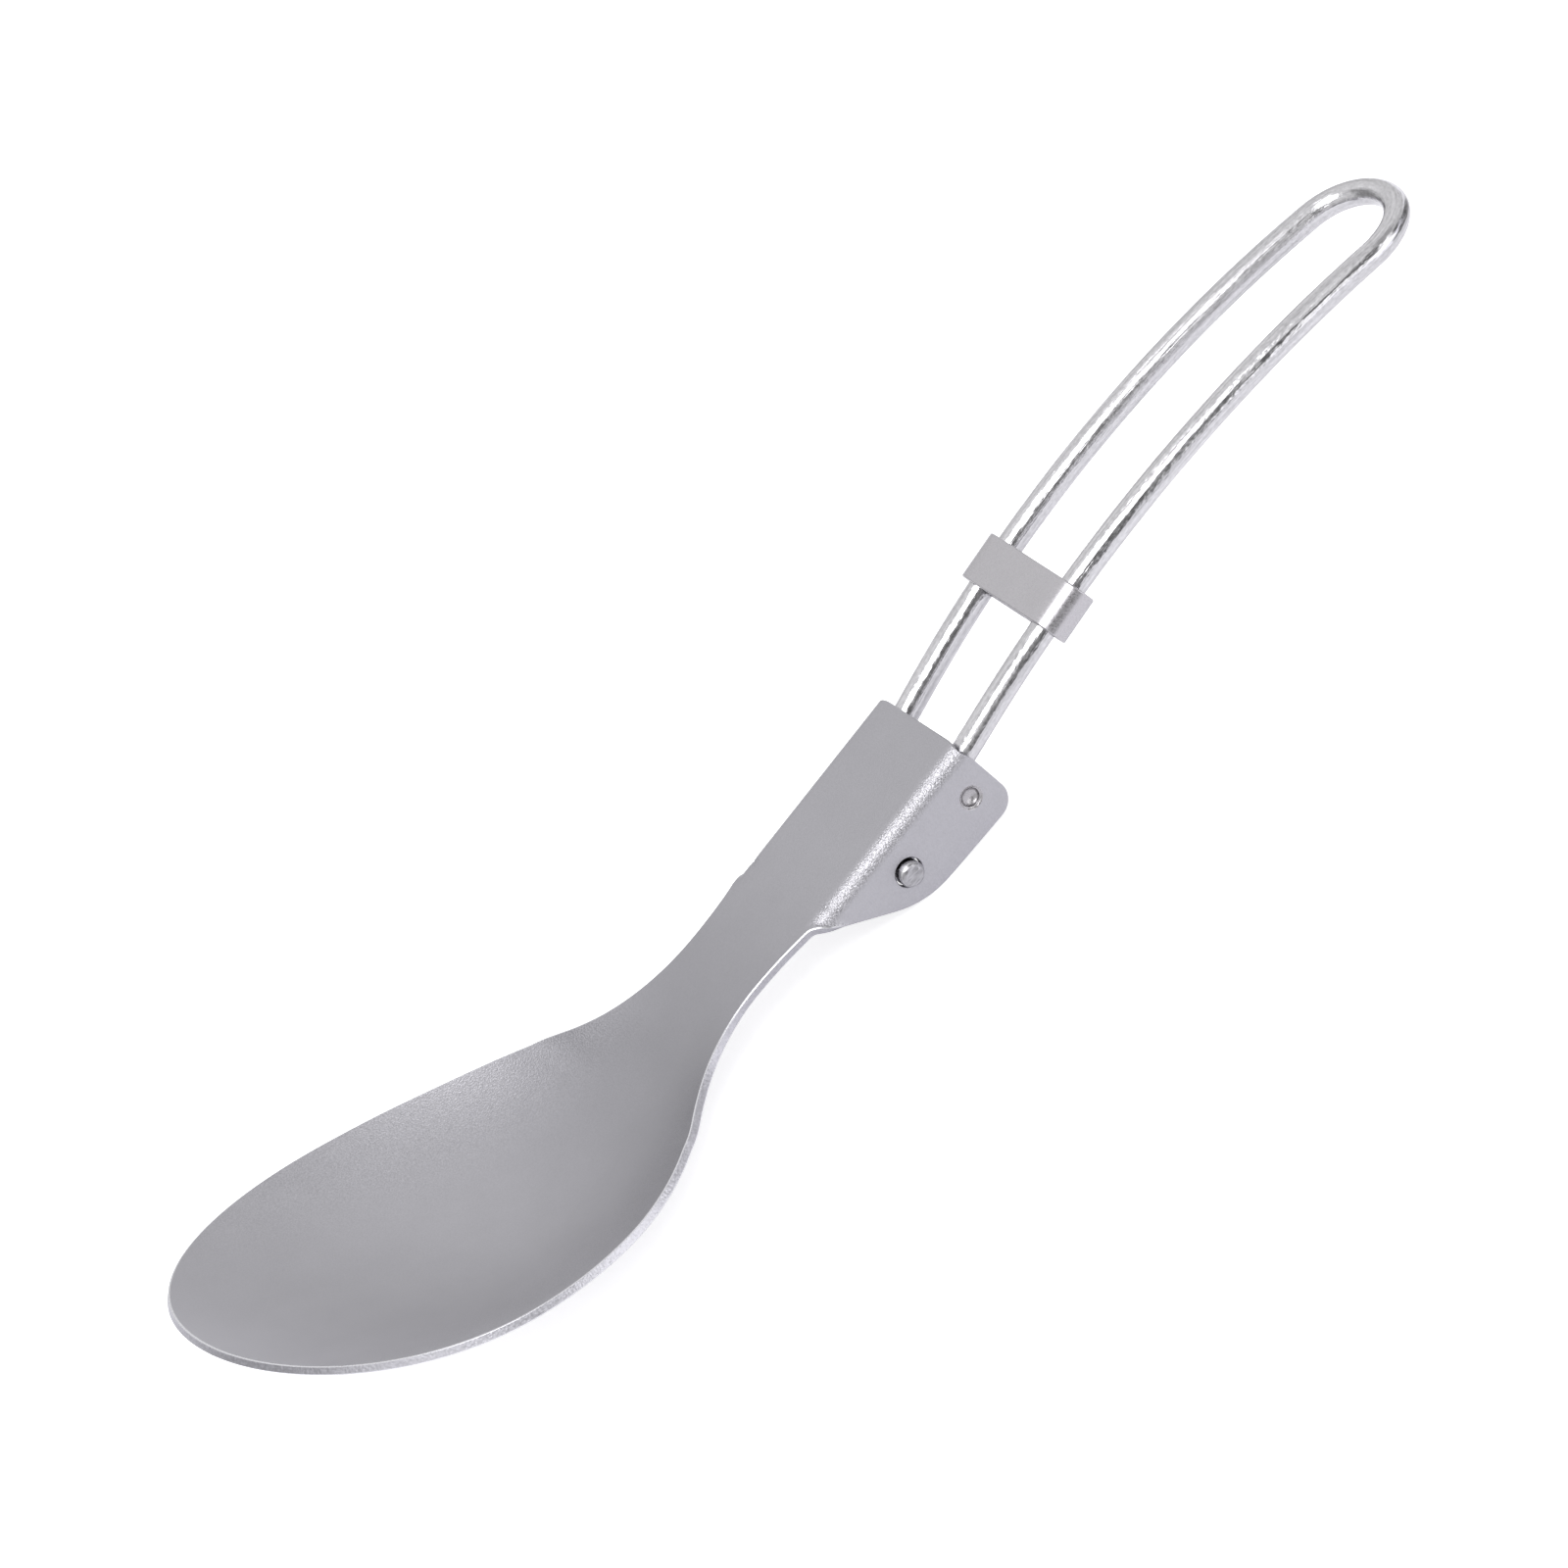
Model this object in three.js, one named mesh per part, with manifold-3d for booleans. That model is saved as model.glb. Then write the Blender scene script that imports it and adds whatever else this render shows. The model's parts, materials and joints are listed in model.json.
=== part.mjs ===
// Folding camping spoon: a sheet metal head, a bent wire handle hinged in it, and a collar on the wires.
// Millimetres, +Z up. The pieces are drawn in the plate frame: the hinge axis is Y through the origin,
// +X runs along the flat neck plate to the handle, and -X runs to the tip of the bowl.
// The finished spoon is then laid open on a table, so that its lowest points touch z = 0.

import * as THREE from "three";
import { mergeVertices, toCreasedNormals } from "three/addons/utils/BufferGeometryUtils.js";
import Module from "manifold-3d";

const DEGREE = Math.PI / 180;

// Sheet of the head, and the U-shaped channel that the handle folds in
const SHEET = 1.0;
const CHANNEL_WIDTH = 19.0;
const CHANNEL_BEND_RADIUS = 2.0;
const HINGE_DROP = 5.1;
const HINGE_TO_REAR = 13.8;
const FLANGE_DEPTH = 10.15;
const FLANGE_TAPER = 2.6 * DEGREE;
const FLANGE_REAR_RADIUS = 2.6;
const HEEL_AHEAD = 1.2;
const HEEL_RADIUS = 11.5;
const RAMP_ANGLE = 40 * DEGREE;
const ROLL_OUT_LENGTH = 1.8;
const ROLL_OUT_SHARE = 0.85;
const THROAT_LENGTH = 3.2;
const NECK_LAP = 0.4;

// Hinge holes and the dimples that hold the legs up when the spoon is open
const HOLE_CLEARANCE = 0.2;
const DIMPLE_AHEAD_OF_REAR = 3.3;
const DIMPLE_BELOW_HINGE = 0.26;
const DIMPLE_RADIUS = 1.15;
const DIMPLE_DEPTH = 0.5;
const BUMP_HEIGHT = 0.3;

// Neck and bowl, in plan: two arcs at the neck, then an egg that ends in half an ellipse
const NECK_HALF_WIDTH = 7.88;
const NECK_TO_HINGE = 19.9;
const NECK_REAR_RADIUS = 35.2;
const NECK_FRONT_RADIUS = 20.8;
const BOWL_HALF_WIDTH = 26.9;
const BOWL_WIDEST_TO_HINGE = 63.3;
const BOWL_FRONT_LENGTH = 24.5;
const BOWL_FRONT_SQUARENESS = 2.05;
const BOWL_REAR_LENGTH = 33.9;
const BOWL_REAR_SQUARENESS = 1.87;
const SHOULDER_TO_HINGE = 36.5;
const SHOULDER_LENGTH = 6;

// Rim in side view: a neck that rises gently, a bend upward, then a long sweep to the tip; and the dish
const NECK_RISE = 2.1 * DEGREE;
const NECK_RISE_TO_HINGE = 13;
const RIM_BEND_TO_HINGE = 31.5;
const RIM_BEND_RADIUS = 63;
const RIM_BEND_ANGLE = 18.2 * DEGREE;
const RIM_SWEEP_RADIUS = 149.5;
const DISH_DEPTH = 7.0;
const DISH_DEEPEST_TO_HINGE = 60;
const DISH_START_TO_HINGE = 22;
const DISH_REAR_POWER = 1.5;

// Wire handle: bent flat into a long bowed loop, then arched
const WIRE_RADIUS = 1.5;
const PIN_PROUD = 0.9;
const PIN_BEND_RADIUS = 1.9;
const LEG_HALF_SPACING = 7.42;
const LEG_BOW_RADIUS = 1150;
const LEG_WIDEST_TO_HINGE = 54;
const LOOP_CENTRE_TO_HINGE = 84.1;
const ARCH_RISE = 9.4 * DEGREE;
const ARCH_START = 18;
const ARCH_RADIUS = 172;

// Collar: a strip closed round both legs, its ends butted under the handle
const COLLAR_SHEET = 0.65;
const COLLAR_CLEARANCE = 0.3;
const COLLAR_SAG = 0.1;
const COLLAR_LENGTH = 5.7;
const COLLAR_TO_HINGE = 32.8;
const COLLAR_SEAM = 0.5;

// Fineness of the faceted solids, and the overrun of every cut
const BOWL_FRONT_STATIONS = 18;
const BOWL_REAR_STATIONS = 16;
const NECK_STATIONS = 10;
const BOWL_COLUMNS = 22;
const ARC_SEGMENTS = 4;
const HOLE_SIDES = 32;
const DIMPLE_RINGS = 5;
const DIMPLE_SIDES = 24;
const WIRE_SIDES = 16;
const BEND_STEPS = 6;
const LEG_STEPS = 24;
const LOOP_STEPS = 18;
const OVERRUN = 2.0;
const SLOPE_STEP = 0.02;
const CREASE_ANGLE = 30 * DEGREE;
const SETTLING_TURNS = 6;

// Places that follow from the sizes above
const PLATE_TOP = HINGE_DROP;
const PLATE_UNDER = PLATE_TOP - SHEET;
const HALF_CHANNEL = CHANNEL_WIDTH / 2;
const INNER_HALF_CHANNEL = HALF_CHANNEL - SHEET;
const FLAT_HALF_CHANNEL = HALF_CHANNEL - CHANNEL_BEND_RADIUS;
const TIP_X = -(BOWL_WIDEST_TO_HINGE + BOWL_FRONT_LENGTH);
const FLANGE_REAR_Z = PLATE_TOP - FLANGE_DEPTH;
const HEEL_Z = FLANGE_REAR_Z + (HINGE_TO_REAR + HEEL_AHEAD) * Math.tan(FLANGE_TAPER);
const CHANNEL_FRONT_X = -HEEL_AHEAD - (PLATE_TOP - HEEL_Z) / Math.tan(RAMP_ANGLE);
const ROLL_OUT_WIDTH = ROLL_OUT_SHARE * CHANNEL_BEND_RADIUS;
const THROAT_HALF_WIDTH = FLAT_HALF_CHANNEL + ROLL_OUT_WIDTH;
const DIMPLE_X = HINGE_TO_REAR - DIMPLE_AHEAD_OF_REAR;

const wasm = await Module();
wasm.setup();

// A closed geometry as a solid that can be joined and cut, without the triangles that have shrunk to a line
function solidOf(geometry) {
  const bare = geometry.clone();
  bare.deleteAttribute("normal");
  bare.deleteAttribute("uv");
  const merged = mergeVertices(bare);
  const corners = [];
  for (let i = 0; i < merged.index.count; i += 3) {
    const [a, b, c] = merged.index.array.slice(i, i + 3);
    if (a !== b && b !== c && c !== a) corners.push(a, b, c);
  }
  return new wasm.Manifold(new wasm.Mesh({
    numProp: 3,
    vertProperties: new Float32Array(merged.attributes.position.array),
    triVerts: new Uint32Array(corners),
  }));
}

// A solid as a geometry with smooth curves and sharp edges
function geometryOf(solid) {
  const { vertProperties, triVerts } = solid.getMesh();
  const geometry = new THREE.BufferGeometry();
  geometry.setAttribute("position", new THREE.BufferAttribute(vertProperties, 3));
  geometry.setIndex(new THREE.BufferAttribute(triVerts, 1));
  return toCreasedNormals(geometry, CREASE_ANGLE);
}

// A shape drawn in (y, z), extruded along X from start to end
function extrudeAlongX(shape, start, end) {
  const geometry = new THREE.ExtrudeGeometry(shape, {
    depth: end - start,
    bevelEnabled: false,
    curveSegments: ARC_SEGMENTS,
  });
  const axes = new THREE.Matrix4().makeBasis(
    new THREE.Vector3(0, 1, 0),
    new THREE.Vector3(0, 0, 1),
    new THREE.Vector3(1, 0, 0),
  );
  return geometry.applyMatrix4(axes).translate(start, 0, 0);
}

// A shape drawn in (x, z), extruded across the spoon to the same distance on both sides
function extrudeAcross(shape, halfWidth) {
  const geometry = new THREE.ExtrudeGeometry(shape, {
    depth: 2 * halfWidth,
    bevelEnabled: false,
    curveSegments: ARC_SEGMENTS,
  });
  return geometry.rotateX(Math.PI / 2).translate(0, halfWidth, 0);
}

// A closed outline of straight runs whose corners carry their own fillet radius
function filletedShape(corners) {
  const shape = new THREE.Shape();
  corners.forEach((corner, i) => {
    const before = corners[(i + corners.length - 1) % corners.length];
    const after = corners[(i + 1) % corners.length];
    const toBefore = new THREE.Vector2(before.x - corner.x, before.z - corner.z).normalize();
    const toAfter = new THREE.Vector2(after.x - corner.x, after.z - corner.z).normalize();
    if (!corner.radius) {
      if (i) shape.lineTo(corner.x, corner.z);
      else shape.moveTo(corner.x, corner.z);
      return;
    }
    const halfAngle = Math.acos(toBefore.dot(toAfter)) / 2;
    const tangent = corner.radius / Math.tan(halfAngle);
    const reach = corner.radius / Math.sin(halfAngle);
    const middle = toBefore.clone().add(toAfter).normalize();
    const centre = new THREE.Vector2(corner.x, corner.z).addScaledVector(middle, reach);
    const start = new THREE.Vector2(corner.x, corner.z).addScaledVector(toBefore, tangent).sub(centre);
    const end = new THREE.Vector2(corner.x, corner.z).addScaledVector(toAfter, tangent).sub(centre);
    shape.absarc(centre.x, centre.y, corner.radius, start.angle(), end.angle(), start.cross(end) < 0);
  });
  shape.closePath();
  return shape;
}

// Half width of the head in plan, at a distance ahead of the hinge: it eases out of the channel first
function halfWidthAt(ahead) {
  const fromNeck = ahead - NECK_TO_HINGE;
  const neckRadius = fromNeck < 0 ? NECK_REAR_RADIUS : NECK_FRONT_RADIUS;
  const inArc = Math.max(neckRadius ** 2 - fromNeck ** 2, 0);
  const neckArc = NECK_HALF_WIDTH + neckRadius - Math.sqrt(inArc);
  const pastChannel = THREE.MathUtils.clamp((ahead + CHANNEL_FRONT_X) / THROAT_LENGTH, 0, 1);
  const neck = THREE.MathUtils.lerp(neckArc, THROAT_HALF_WIDTH, (1 - pastChannel) ** 2);
  const fromWidest = ahead - BOWL_WIDEST_TO_HINGE;
  if (fromWidest >= 0) {
    const along = Math.min(fromWidest / BOWL_FRONT_LENGTH, 1);
    return BOWL_HALF_WIDTH * (1 - along ** BOWL_FRONT_SQUARENESS) ** (1 / BOWL_FRONT_SQUARENESS);
  }
  const along = Math.min(-fromWidest / BOWL_REAR_LENGTH, 1);
  const egg = BOWL_HALF_WIDTH * (1 - along ** BOWL_REAR_SQUARENESS) ** (1 / BOWL_REAR_SQUARENESS);
  const joinHalf = SHOULDER_LENGTH / 2;
  const joinStart = SHOULDER_TO_HINGE - joinHalf;
  const share = THREE.MathUtils.smoothstep(ahead, joinStart, SHOULDER_TO_HINGE + joinHalf);
  return THREE.MathUtils.lerp(neck, egg, share);
}

// Height of the rim above the neck plate, at a distance ahead of the hinge
function rimRiseAt(ahead) {
  const neckRise = Math.tan(NECK_RISE) * Math.max(ahead - NECK_RISE_TO_HINGE, 0);
  const fromBend = ahead - RIM_BEND_TO_HINGE;
  if (fromBend <= 0) return neckRise;
  const bendRun = RIM_BEND_RADIUS * Math.sin(RIM_BEND_ANGLE);
  if (fromBend <= bendRun) {
    return neckRise + RIM_BEND_RADIUS - Math.sqrt(RIM_BEND_RADIUS ** 2 - fromBend ** 2);
  }
  const bendRise = RIM_BEND_RADIUS * (1 - Math.cos(RIM_BEND_ANGLE));
  const sweepRun = fromBend - bendRun + RIM_SWEEP_RADIUS * Math.sin(RIM_BEND_ANGLE);
  const sweepTop = RIM_SWEEP_RADIUS * Math.cos(RIM_BEND_ANGLE);
  return neckRise + bendRise + sweepTop - Math.sqrt(RIM_SWEEP_RADIUS ** 2 - sweepRun ** 2);
}

// Depth of the dish below the rim on the middle line
function dishAt(ahead) {
  if (ahead <= DISH_START_TO_HINGE) return 0;
  if (ahead < DISH_DEEPEST_TO_HINGE) {
    const along = (DISH_DEEPEST_TO_HINGE - ahead) / (DISH_DEEPEST_TO_HINGE - DISH_START_TO_HINGE);
    return DISH_DEPTH * (1 - along ** 2) ** DISH_REAR_POWER;
  }
  const along = (ahead - DISH_DEEPEST_TO_HINGE) / (-TIP_X - DISH_DEEPEST_TO_HINGE);
  return DISH_DEPTH * (1 - along ** 2);
}

// Fall of the rounded bend of the channel at a distance from the middle, which dies out along the neck
function rollFallAt(x, y) {
  const share = THREE.MathUtils.clamp(1 - (CHANNEL_FRONT_X - x) / ROLL_OUT_LENGTH, 0, 1);
  const past = THREE.MathUtils.clamp(Math.abs(y) - FLAT_HALF_CHANNEL, 0, ROLL_OUT_WIDTH);
  return share * (CHANNEL_BEND_RADIUS - Math.sqrt(CHANNEL_BEND_RADIUS ** 2 - past ** 2));
}

// Height of the upper surface of the neck and bowl above the hinge axis
function topHeightAt(x, y) {
  const ahead = -x;
  const across = y / Math.max(halfWidthAt(ahead), SLOPE_STEP);
  const dished = dishAt(ahead) * (1 - Math.min(across ** 2, 1));
  return PLATE_TOP + rimRiseAt(ahead) - dished - rollFallAt(x, y);
}

// Upward normal of that surface, taken a small step inside the rim
function normalAt(x, y) {
  const inside = Math.max(x, TIP_X + 2 * SLOPE_STEP);
  const limit = halfWidthAt(-inside) - SLOPE_STEP;
  const side = THREE.MathUtils.clamp(y, -limit, limit);
  const alongSlope = topHeightAt(inside + SLOPE_STEP, side) - topHeightAt(inside - SLOPE_STEP, side);
  const acrossSlope = topHeightAt(inside, side + SLOPE_STEP) - topHeightAt(inside, side - SLOPE_STEP);
  return new THREE.Vector3(-alongSlope, -acrossSlope, 2 * SLOPE_STEP).normalize();
}

// Stations of the neck and bowl, from inside the channel plate to the tip
function headStations() {
  const stations = [];
  for (let i = 0; i < NECK_STATIONS; i += 1) {
    stations.push(THREE.MathUtils.lerp(CHANNEL_FRONT_X + NECK_LAP, -RIM_BEND_TO_HINGE, i / NECK_STATIONS));
  }
  for (let i = 0; i < BOWL_REAR_STATIONS; i += 1) {
    stations.push(THREE.MathUtils.lerp(-RIM_BEND_TO_HINGE, -BOWL_WIDEST_TO_HINGE, i / BOWL_REAR_STATIONS));
  }
  for (let i = 0; i <= BOWL_FRONT_STATIONS; i += 1) {
    const turn = (i / BOWL_FRONT_STATIONS) * Math.PI / 2;
    stations.push(-BOWL_WIDEST_TO_HINGE - BOWL_FRONT_LENGTH * Math.sin(turn));
  }
  return stations;
}

// The neck and bowl as one dished sheet: an upper and a lower grid of points, closed along all edges
function neckAndBowl() {
  const stations = headStations();
  const upper = [];
  const lower = [];
  for (const x of stations) {
    const halfWidth = halfWidthAt(-x);
    for (let j = 0; j <= BOWL_COLUMNS; j += 1) {
      const y = halfWidth * (2 * j / BOWL_COLUMNS - 1);
      const top = new THREE.Vector3(x, y, topHeightAt(x, y));
      upper.push(...top);
      lower.push(...top.addScaledVector(normalAt(x, y), -SHEET));
    }
  }
  const row = BOWL_COLUMNS + 1;
  const below = upper.length / 3;
  const lastRow = (stations.length - 1) * row;
  const index = [];
  const quad = (a, b, c, d) => index.push(a, b, c, a, c, d);
  for (let i = 0; i < lastRow; i += row) {
    for (let j = i; j < i + BOWL_COLUMNS; j += 1) {
      quad(j, j + 1, j + row + 1, j + row);
      quad(below + j, below + j + row, below + j + row + 1, below + j + 1);
    }
    quad(i, i + row, below + i + row, below + i);
    const j = i + BOWL_COLUMNS;
    quad(j, below + j, below + j + row, j + row);
  }
  for (let j = 0; j < BOWL_COLUMNS; j += 1) quad(j, below + j, below + j + 1, j + 1);
  const geometry = new THREE.BufferGeometry();
  geometry.setAttribute("position", new THREE.Float32BufferAttribute([...upper, ...lower], 3));
  geometry.setIndex(index);
  return solidOf(geometry);
}

// The channel: a U-shaped section along X, trimmed in side view to the outline of the flanges
function channel() {
  const floorZ = FLANGE_REAR_Z - OVERRUN;
  const bendZ = PLATE_TOP - CHANNEL_BEND_RADIUS;
  const innerRadius = CHANNEL_BEND_RADIUS - SHEET;
  const section = new THREE.Shape();
  section.moveTo(HALF_CHANNEL, floorZ);
  section.lineTo(HALF_CHANNEL, bendZ);
  section.absarc(FLAT_HALF_CHANNEL, bendZ, CHANNEL_BEND_RADIUS, 0, Math.PI / 2, false);
  section.lineTo(-FLAT_HALF_CHANNEL, PLATE_TOP);
  section.absarc(-FLAT_HALF_CHANNEL, bendZ, CHANNEL_BEND_RADIUS, Math.PI / 2, Math.PI, false);
  section.lineTo(-HALF_CHANNEL, floorZ);
  section.lineTo(-INNER_HALF_CHANNEL, floorZ);
  section.lineTo(-INNER_HALF_CHANNEL, bendZ);
  section.absarc(-FLAT_HALF_CHANNEL, bendZ, innerRadius, Math.PI, Math.PI / 2, true);
  section.lineTo(FLAT_HALF_CHANNEL, PLATE_UNDER);
  section.absarc(FLAT_HALF_CHANNEL, bendZ, innerRadius, Math.PI / 2, 0, true);
  section.lineTo(INNER_HALF_CHANNEL, floorZ);
  section.closePath();

  const aboveZ = PLATE_TOP + OVERRUN;
  const trim = filletedShape([
    { x: HINGE_TO_REAR, z: aboveZ },
    { x: CHANNEL_FRONT_X - OVERRUN / Math.tan(RAMP_ANGLE), z: aboveZ },
    { x: -HEEL_AHEAD, z: HEEL_Z, radius: HEEL_RADIUS },
    { x: HINGE_TO_REAR, z: FLANGE_REAR_Z, radius: FLANGE_REAR_RADIUS },
  ]);
  const along = solidOf(extrudeAlongX(section, CHANNEL_FRONT_X - OVERRUN, HINGE_TO_REAR + OVERRUN));
  return along.intersect(solidOf(extrudeAcross(trim, HALF_CHANNEL + OVERRUN)));
}

// A shallow dome round Y that points inward, with its flat back at the given distance outward
function dome(rise, back) {
  const sphere = (DIMPLE_RADIUS ** 2 + rise ** 2) / (2 * rise);
  const edge = Math.asin(DIMPLE_RADIUS / sphere);
  const profile = [];
  for (let i = 0; i <= DIMPLE_RINGS; i += 1) {
    const turn = edge * i / DIMPLE_RINGS;
    profile.push(new THREE.Vector2(sphere * Math.sin(turn), sphere - rise - sphere * Math.cos(turn)));
  }
  profile[0].x = 0;
  profile.push(new THREE.Vector2(DIMPLE_RADIUS, back), new THREE.Vector2(0, back));
  return new THREE.LatheGeometry(profile, DIMPLE_SIDES);
}

// The whole stamping, with its hinge holes and the dimples pressed into both flanges
function spoonHead() {
  let head = neckAndBowl().add(channel());
  const holeRadius = WIRE_RADIUS + HOLE_CLEARANCE;
  const drill = new THREE.CylinderGeometry(holeRadius, holeRadius, CHANNEL_WIDTH + 2 * OVERRUN, HOLE_SIDES);
  head = head.subtract(solidOf(drill));
  for (const side of [1, -1]) {
    const place = (geometry, y) => {
      if (side < 0) geometry.rotateZ(Math.PI);
      return solidOf(geometry.translate(DIMPLE_X, side * y, -DIMPLE_BELOW_HINGE));
    };
    head = head.subtract(place(dome(DIMPLE_DEPTH, OVERRUN), HALF_CHANNEL));
    head = head.add(place(dome(BUMP_HEIGHT, BUMP_HEIGHT), INNER_HALF_CHANNEL));
  }
  return geometryOf(head);
}

// Where a distance along the legs from the hinge lies in side view, and the heading of the legs there
function archAt(distance) {
  if (distance <= ARCH_START) {
    return { x: distance * Math.cos(ARCH_RISE), z: distance * Math.sin(ARCH_RISE), heading: ARCH_RISE };
  }
  const heading = ARCH_RISE - (distance - ARCH_START) / ARCH_RADIUS;
  return {
    x: ARCH_START * Math.cos(ARCH_RISE) + ARCH_RADIUS * (Math.sin(ARCH_RISE) - Math.sin(heading)),
    z: ARCH_START * Math.sin(ARCH_RISE) + ARCH_RADIUS * (Math.cos(heading) - Math.cos(ARCH_RISE)),
    heading,
  };
}

// Centre line of the wire: pin, bend, bowed leg, end loop and back, drawn flat and carried onto the arch.
// Each run has its own number of steps, so the tight bends get short ones.
class BentWire extends THREE.Curve {
  constructor(runs) {
    super();
    this.runs = runs;
    this.steps = runs.reduce((sum, run) => sum + run.steps, 0);
  }

  getPoint(t) {
    let step = t * this.steps;
    let run = this.runs[0];
    for (run of this.runs) {
      if (step <= run.steps) break;
      step -= run.steps;
    }
    const flat = run.curve.getPoint(Math.min(step / run.steps, 1));
    const { x, z } = archAt(flat.x);
    return new THREE.Vector3(x, flat.y, z);
  }

  getPointAt(u) {
    return this.getPoint(u);
  }

  getTangentAt(u) {
    return this.getTangent(u);
  }
}

// The runs of one half of the loop, from the end of a pin to the middle of the end loop
function halfLoopRuns() {
  const bow = new THREE.Vector2(LEG_WIDEST_TO_HINGE, LEG_HALF_SPACING - LEG_BOW_RADIUS);
  const bendReach = LEG_BOW_RADIUS + PIN_BEND_RADIUS;
  const bendY = bow.y + Math.sqrt(bendReach ** 2 - (bow.x - PIN_BEND_RADIUS) ** 2);
  const bend = new THREE.Vector2(PIN_BEND_RADIUS, bendY);
  const loop = new THREE.Vector2(LOOP_CENTRE_TO_HINGE, 0);
  const loopRadius = LEG_BOW_RADIUS - loop.distanceTo(bow);
  const bendAngle = bow.clone().sub(bend).angle();
  const legStart = bend.clone().sub(bow).angle();
  const legEnd = loop.clone().sub(bow).angle();
  const arc = (centre, radius, start, end, clockwise) =>
    new THREE.EllipseCurve(centre.x, centre.y, radius, radius, start, end, clockwise);
  const pin = new THREE.LineCurve(
    new THREE.Vector2(0, HALF_CHANNEL + PIN_PROUD),
    new THREE.Vector2(0, bendY),
  );
  return [
    { curve: pin, steps: 1 },
    { curve: arc(bend, PIN_BEND_RADIUS, Math.PI, bendAngle, false), steps: BEND_STEPS },
    { curve: arc(bow, LEG_BOW_RADIUS, legStart, legEnd, true), steps: LEG_STEPS },
    { curve: arc(loop, loopRadius, legEnd, 0, true), steps: LOOP_STEPS / 2 },
  ];
}

// The same run on the other side of the spoon, walked backward
class MirroredRun extends THREE.Curve {
  constructor(curve) {
    super();
    this.curve = curve;
  }

  getPoint(t) {
    const point = this.curve.getPoint(1 - t);
    return new THREE.Vector2(point.x, -point.y);
  }
}

function wireHandle() {
  const half = halfLoopRuns();
  const otherHalf = half.map(({ curve, steps }) => ({ curve: new MirroredRun(curve), steps })).reverse();
  const path = new BentWire([...half, ...otherHalf]);
  const section = new THREE.Shape().absarc(0, 0, WIRE_RADIUS, 0, 2 * Math.PI, false);
  const wire = new THREE.ExtrudeGeometry(section, {
    steps: path.steps,
    extrudePath: path,
    curveSegments: WIRE_SIDES / 2,
  });
  return geometryOf(solidOf(wire));
}

// The collar, drawn round the legs as seen along them, with its seam under the handle
function lockCollar() {
  const inner = WIRE_RADIUS + COLLAR_CLEARANCE;
  const outer = inner + COLLAR_SHEET;
  const side = LEG_HALF_SPACING;
  const seam = COLLAR_SEAM / 2;
  const section = new THREE.Shape();
  section.moveTo(seam, -outer);
  section.lineTo(side, -outer);
  section.absarc(side, 0, outer, -Math.PI / 2, Math.PI / 2, false);
  section.lineTo(-side, outer);
  section.absarc(-side, 0, outer, Math.PI / 2, 3 * Math.PI / 2, false);
  section.lineTo(-seam, -outer);
  section.lineTo(-seam, -inner);
  section.lineTo(-side, -inner);
  section.absarc(-side, 0, inner, 3 * Math.PI / 2, Math.PI / 2, true);
  section.lineTo(side, inner);
  section.absarc(side, 0, inner, Math.PI / 2, -Math.PI / 2, true);
  section.lineTo(seam, -inner);
  section.closePath();
  return geometryOf(solidOf(extrudeAlongX(section, -COLLAR_LENGTH / 2, COLLAR_LENGTH / 2)));
}

function namedMesh(name, geometry, color, roughness) {
  const mesh = new THREE.Mesh(geometry, new THREE.MeshStandardMaterial({ color, roughness, metalness: 1 }));
  mesh.name = name;
  return mesh;
}

const head = namedMesh("spoon_head", spoonHead(), "#a7a5ac", 0.6);
const handle = namedMesh("wire_handle", wireHandle(), "#d3d3d6", 0.2);
const collar = namedMesh("lock_collar", lockCollar(), "#b9b6ba", 0.35);
const seat = archAt(COLLAR_TO_HINGE);
collar.position.set(seat.x, 0, seat.z - COLLAR_SAG);
collar.rotation.y = -seat.heading;

const spoon = new THREE.Group();
spoon.add(head, handle, collar);

// Slope of the table under the open spoon, in the plate frame: it touches the bowl and whatever lies lowest
// behind the neck
function tableSlope(points) {
  const lowest = (side, slope) => {
    const heights = side.map((p) => p.z - slope * p.x);
    return side[heights.indexOf(heights.reduce((low, height) => Math.min(low, height)))];
  };
  const front = points.filter((p) => p.x < CHANNEL_FRONT_X);
  const rear = points.filter((p) => p.x >= CHANNEL_FRONT_X);
  let slope = 0;
  for (let i = 0; i < SETTLING_TURNS; i += 1) {
    const bowlPoint = lowest(front, slope);
    const rearPoint = lowest(rear, slope);
    slope = (rearPoint.z - bowlPoint.z) / (rearPoint.x - bowlPoint.x);
  }
  return slope;
}

function cornersOf(mesh) {
  mesh.updateMatrix();
  const { position } = mesh.geometry.attributes;
  const point = (i) => new THREE.Vector3().fromBufferAttribute(position, i).applyMatrix4(mesh.matrix);
  return Array.from({ length: position.count }, (_, i) => point(i));
}

spoon.rotation.y = Math.atan(tableSlope(spoon.children.flatMap(cornersOf)));
const box = new THREE.Box3().setFromObject(spoon, true);
const middle = box.getCenter(new THREE.Vector3());
spoon.position.set(-middle.x, -middle.y, -box.min.z);

const model = new THREE.Group();
model.add(spoon);

export default model;
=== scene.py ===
"""Folding camping spoon, dressed for the render: a blasted sheet head, a bent wire handle and a strip collar.

Every size is in metres. Each piece is drawn in the plate frame, where the hinge axis is Y through the origin,
+X runs along the flat neck plate to the handle and +Z leaves the plate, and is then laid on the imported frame.
"""

import json
import math

import bpy
from bpy.props import FloatProperty, PointerProperty, StringProperty
from mathutils import Matrix, Vector, kdtree, noise


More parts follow.
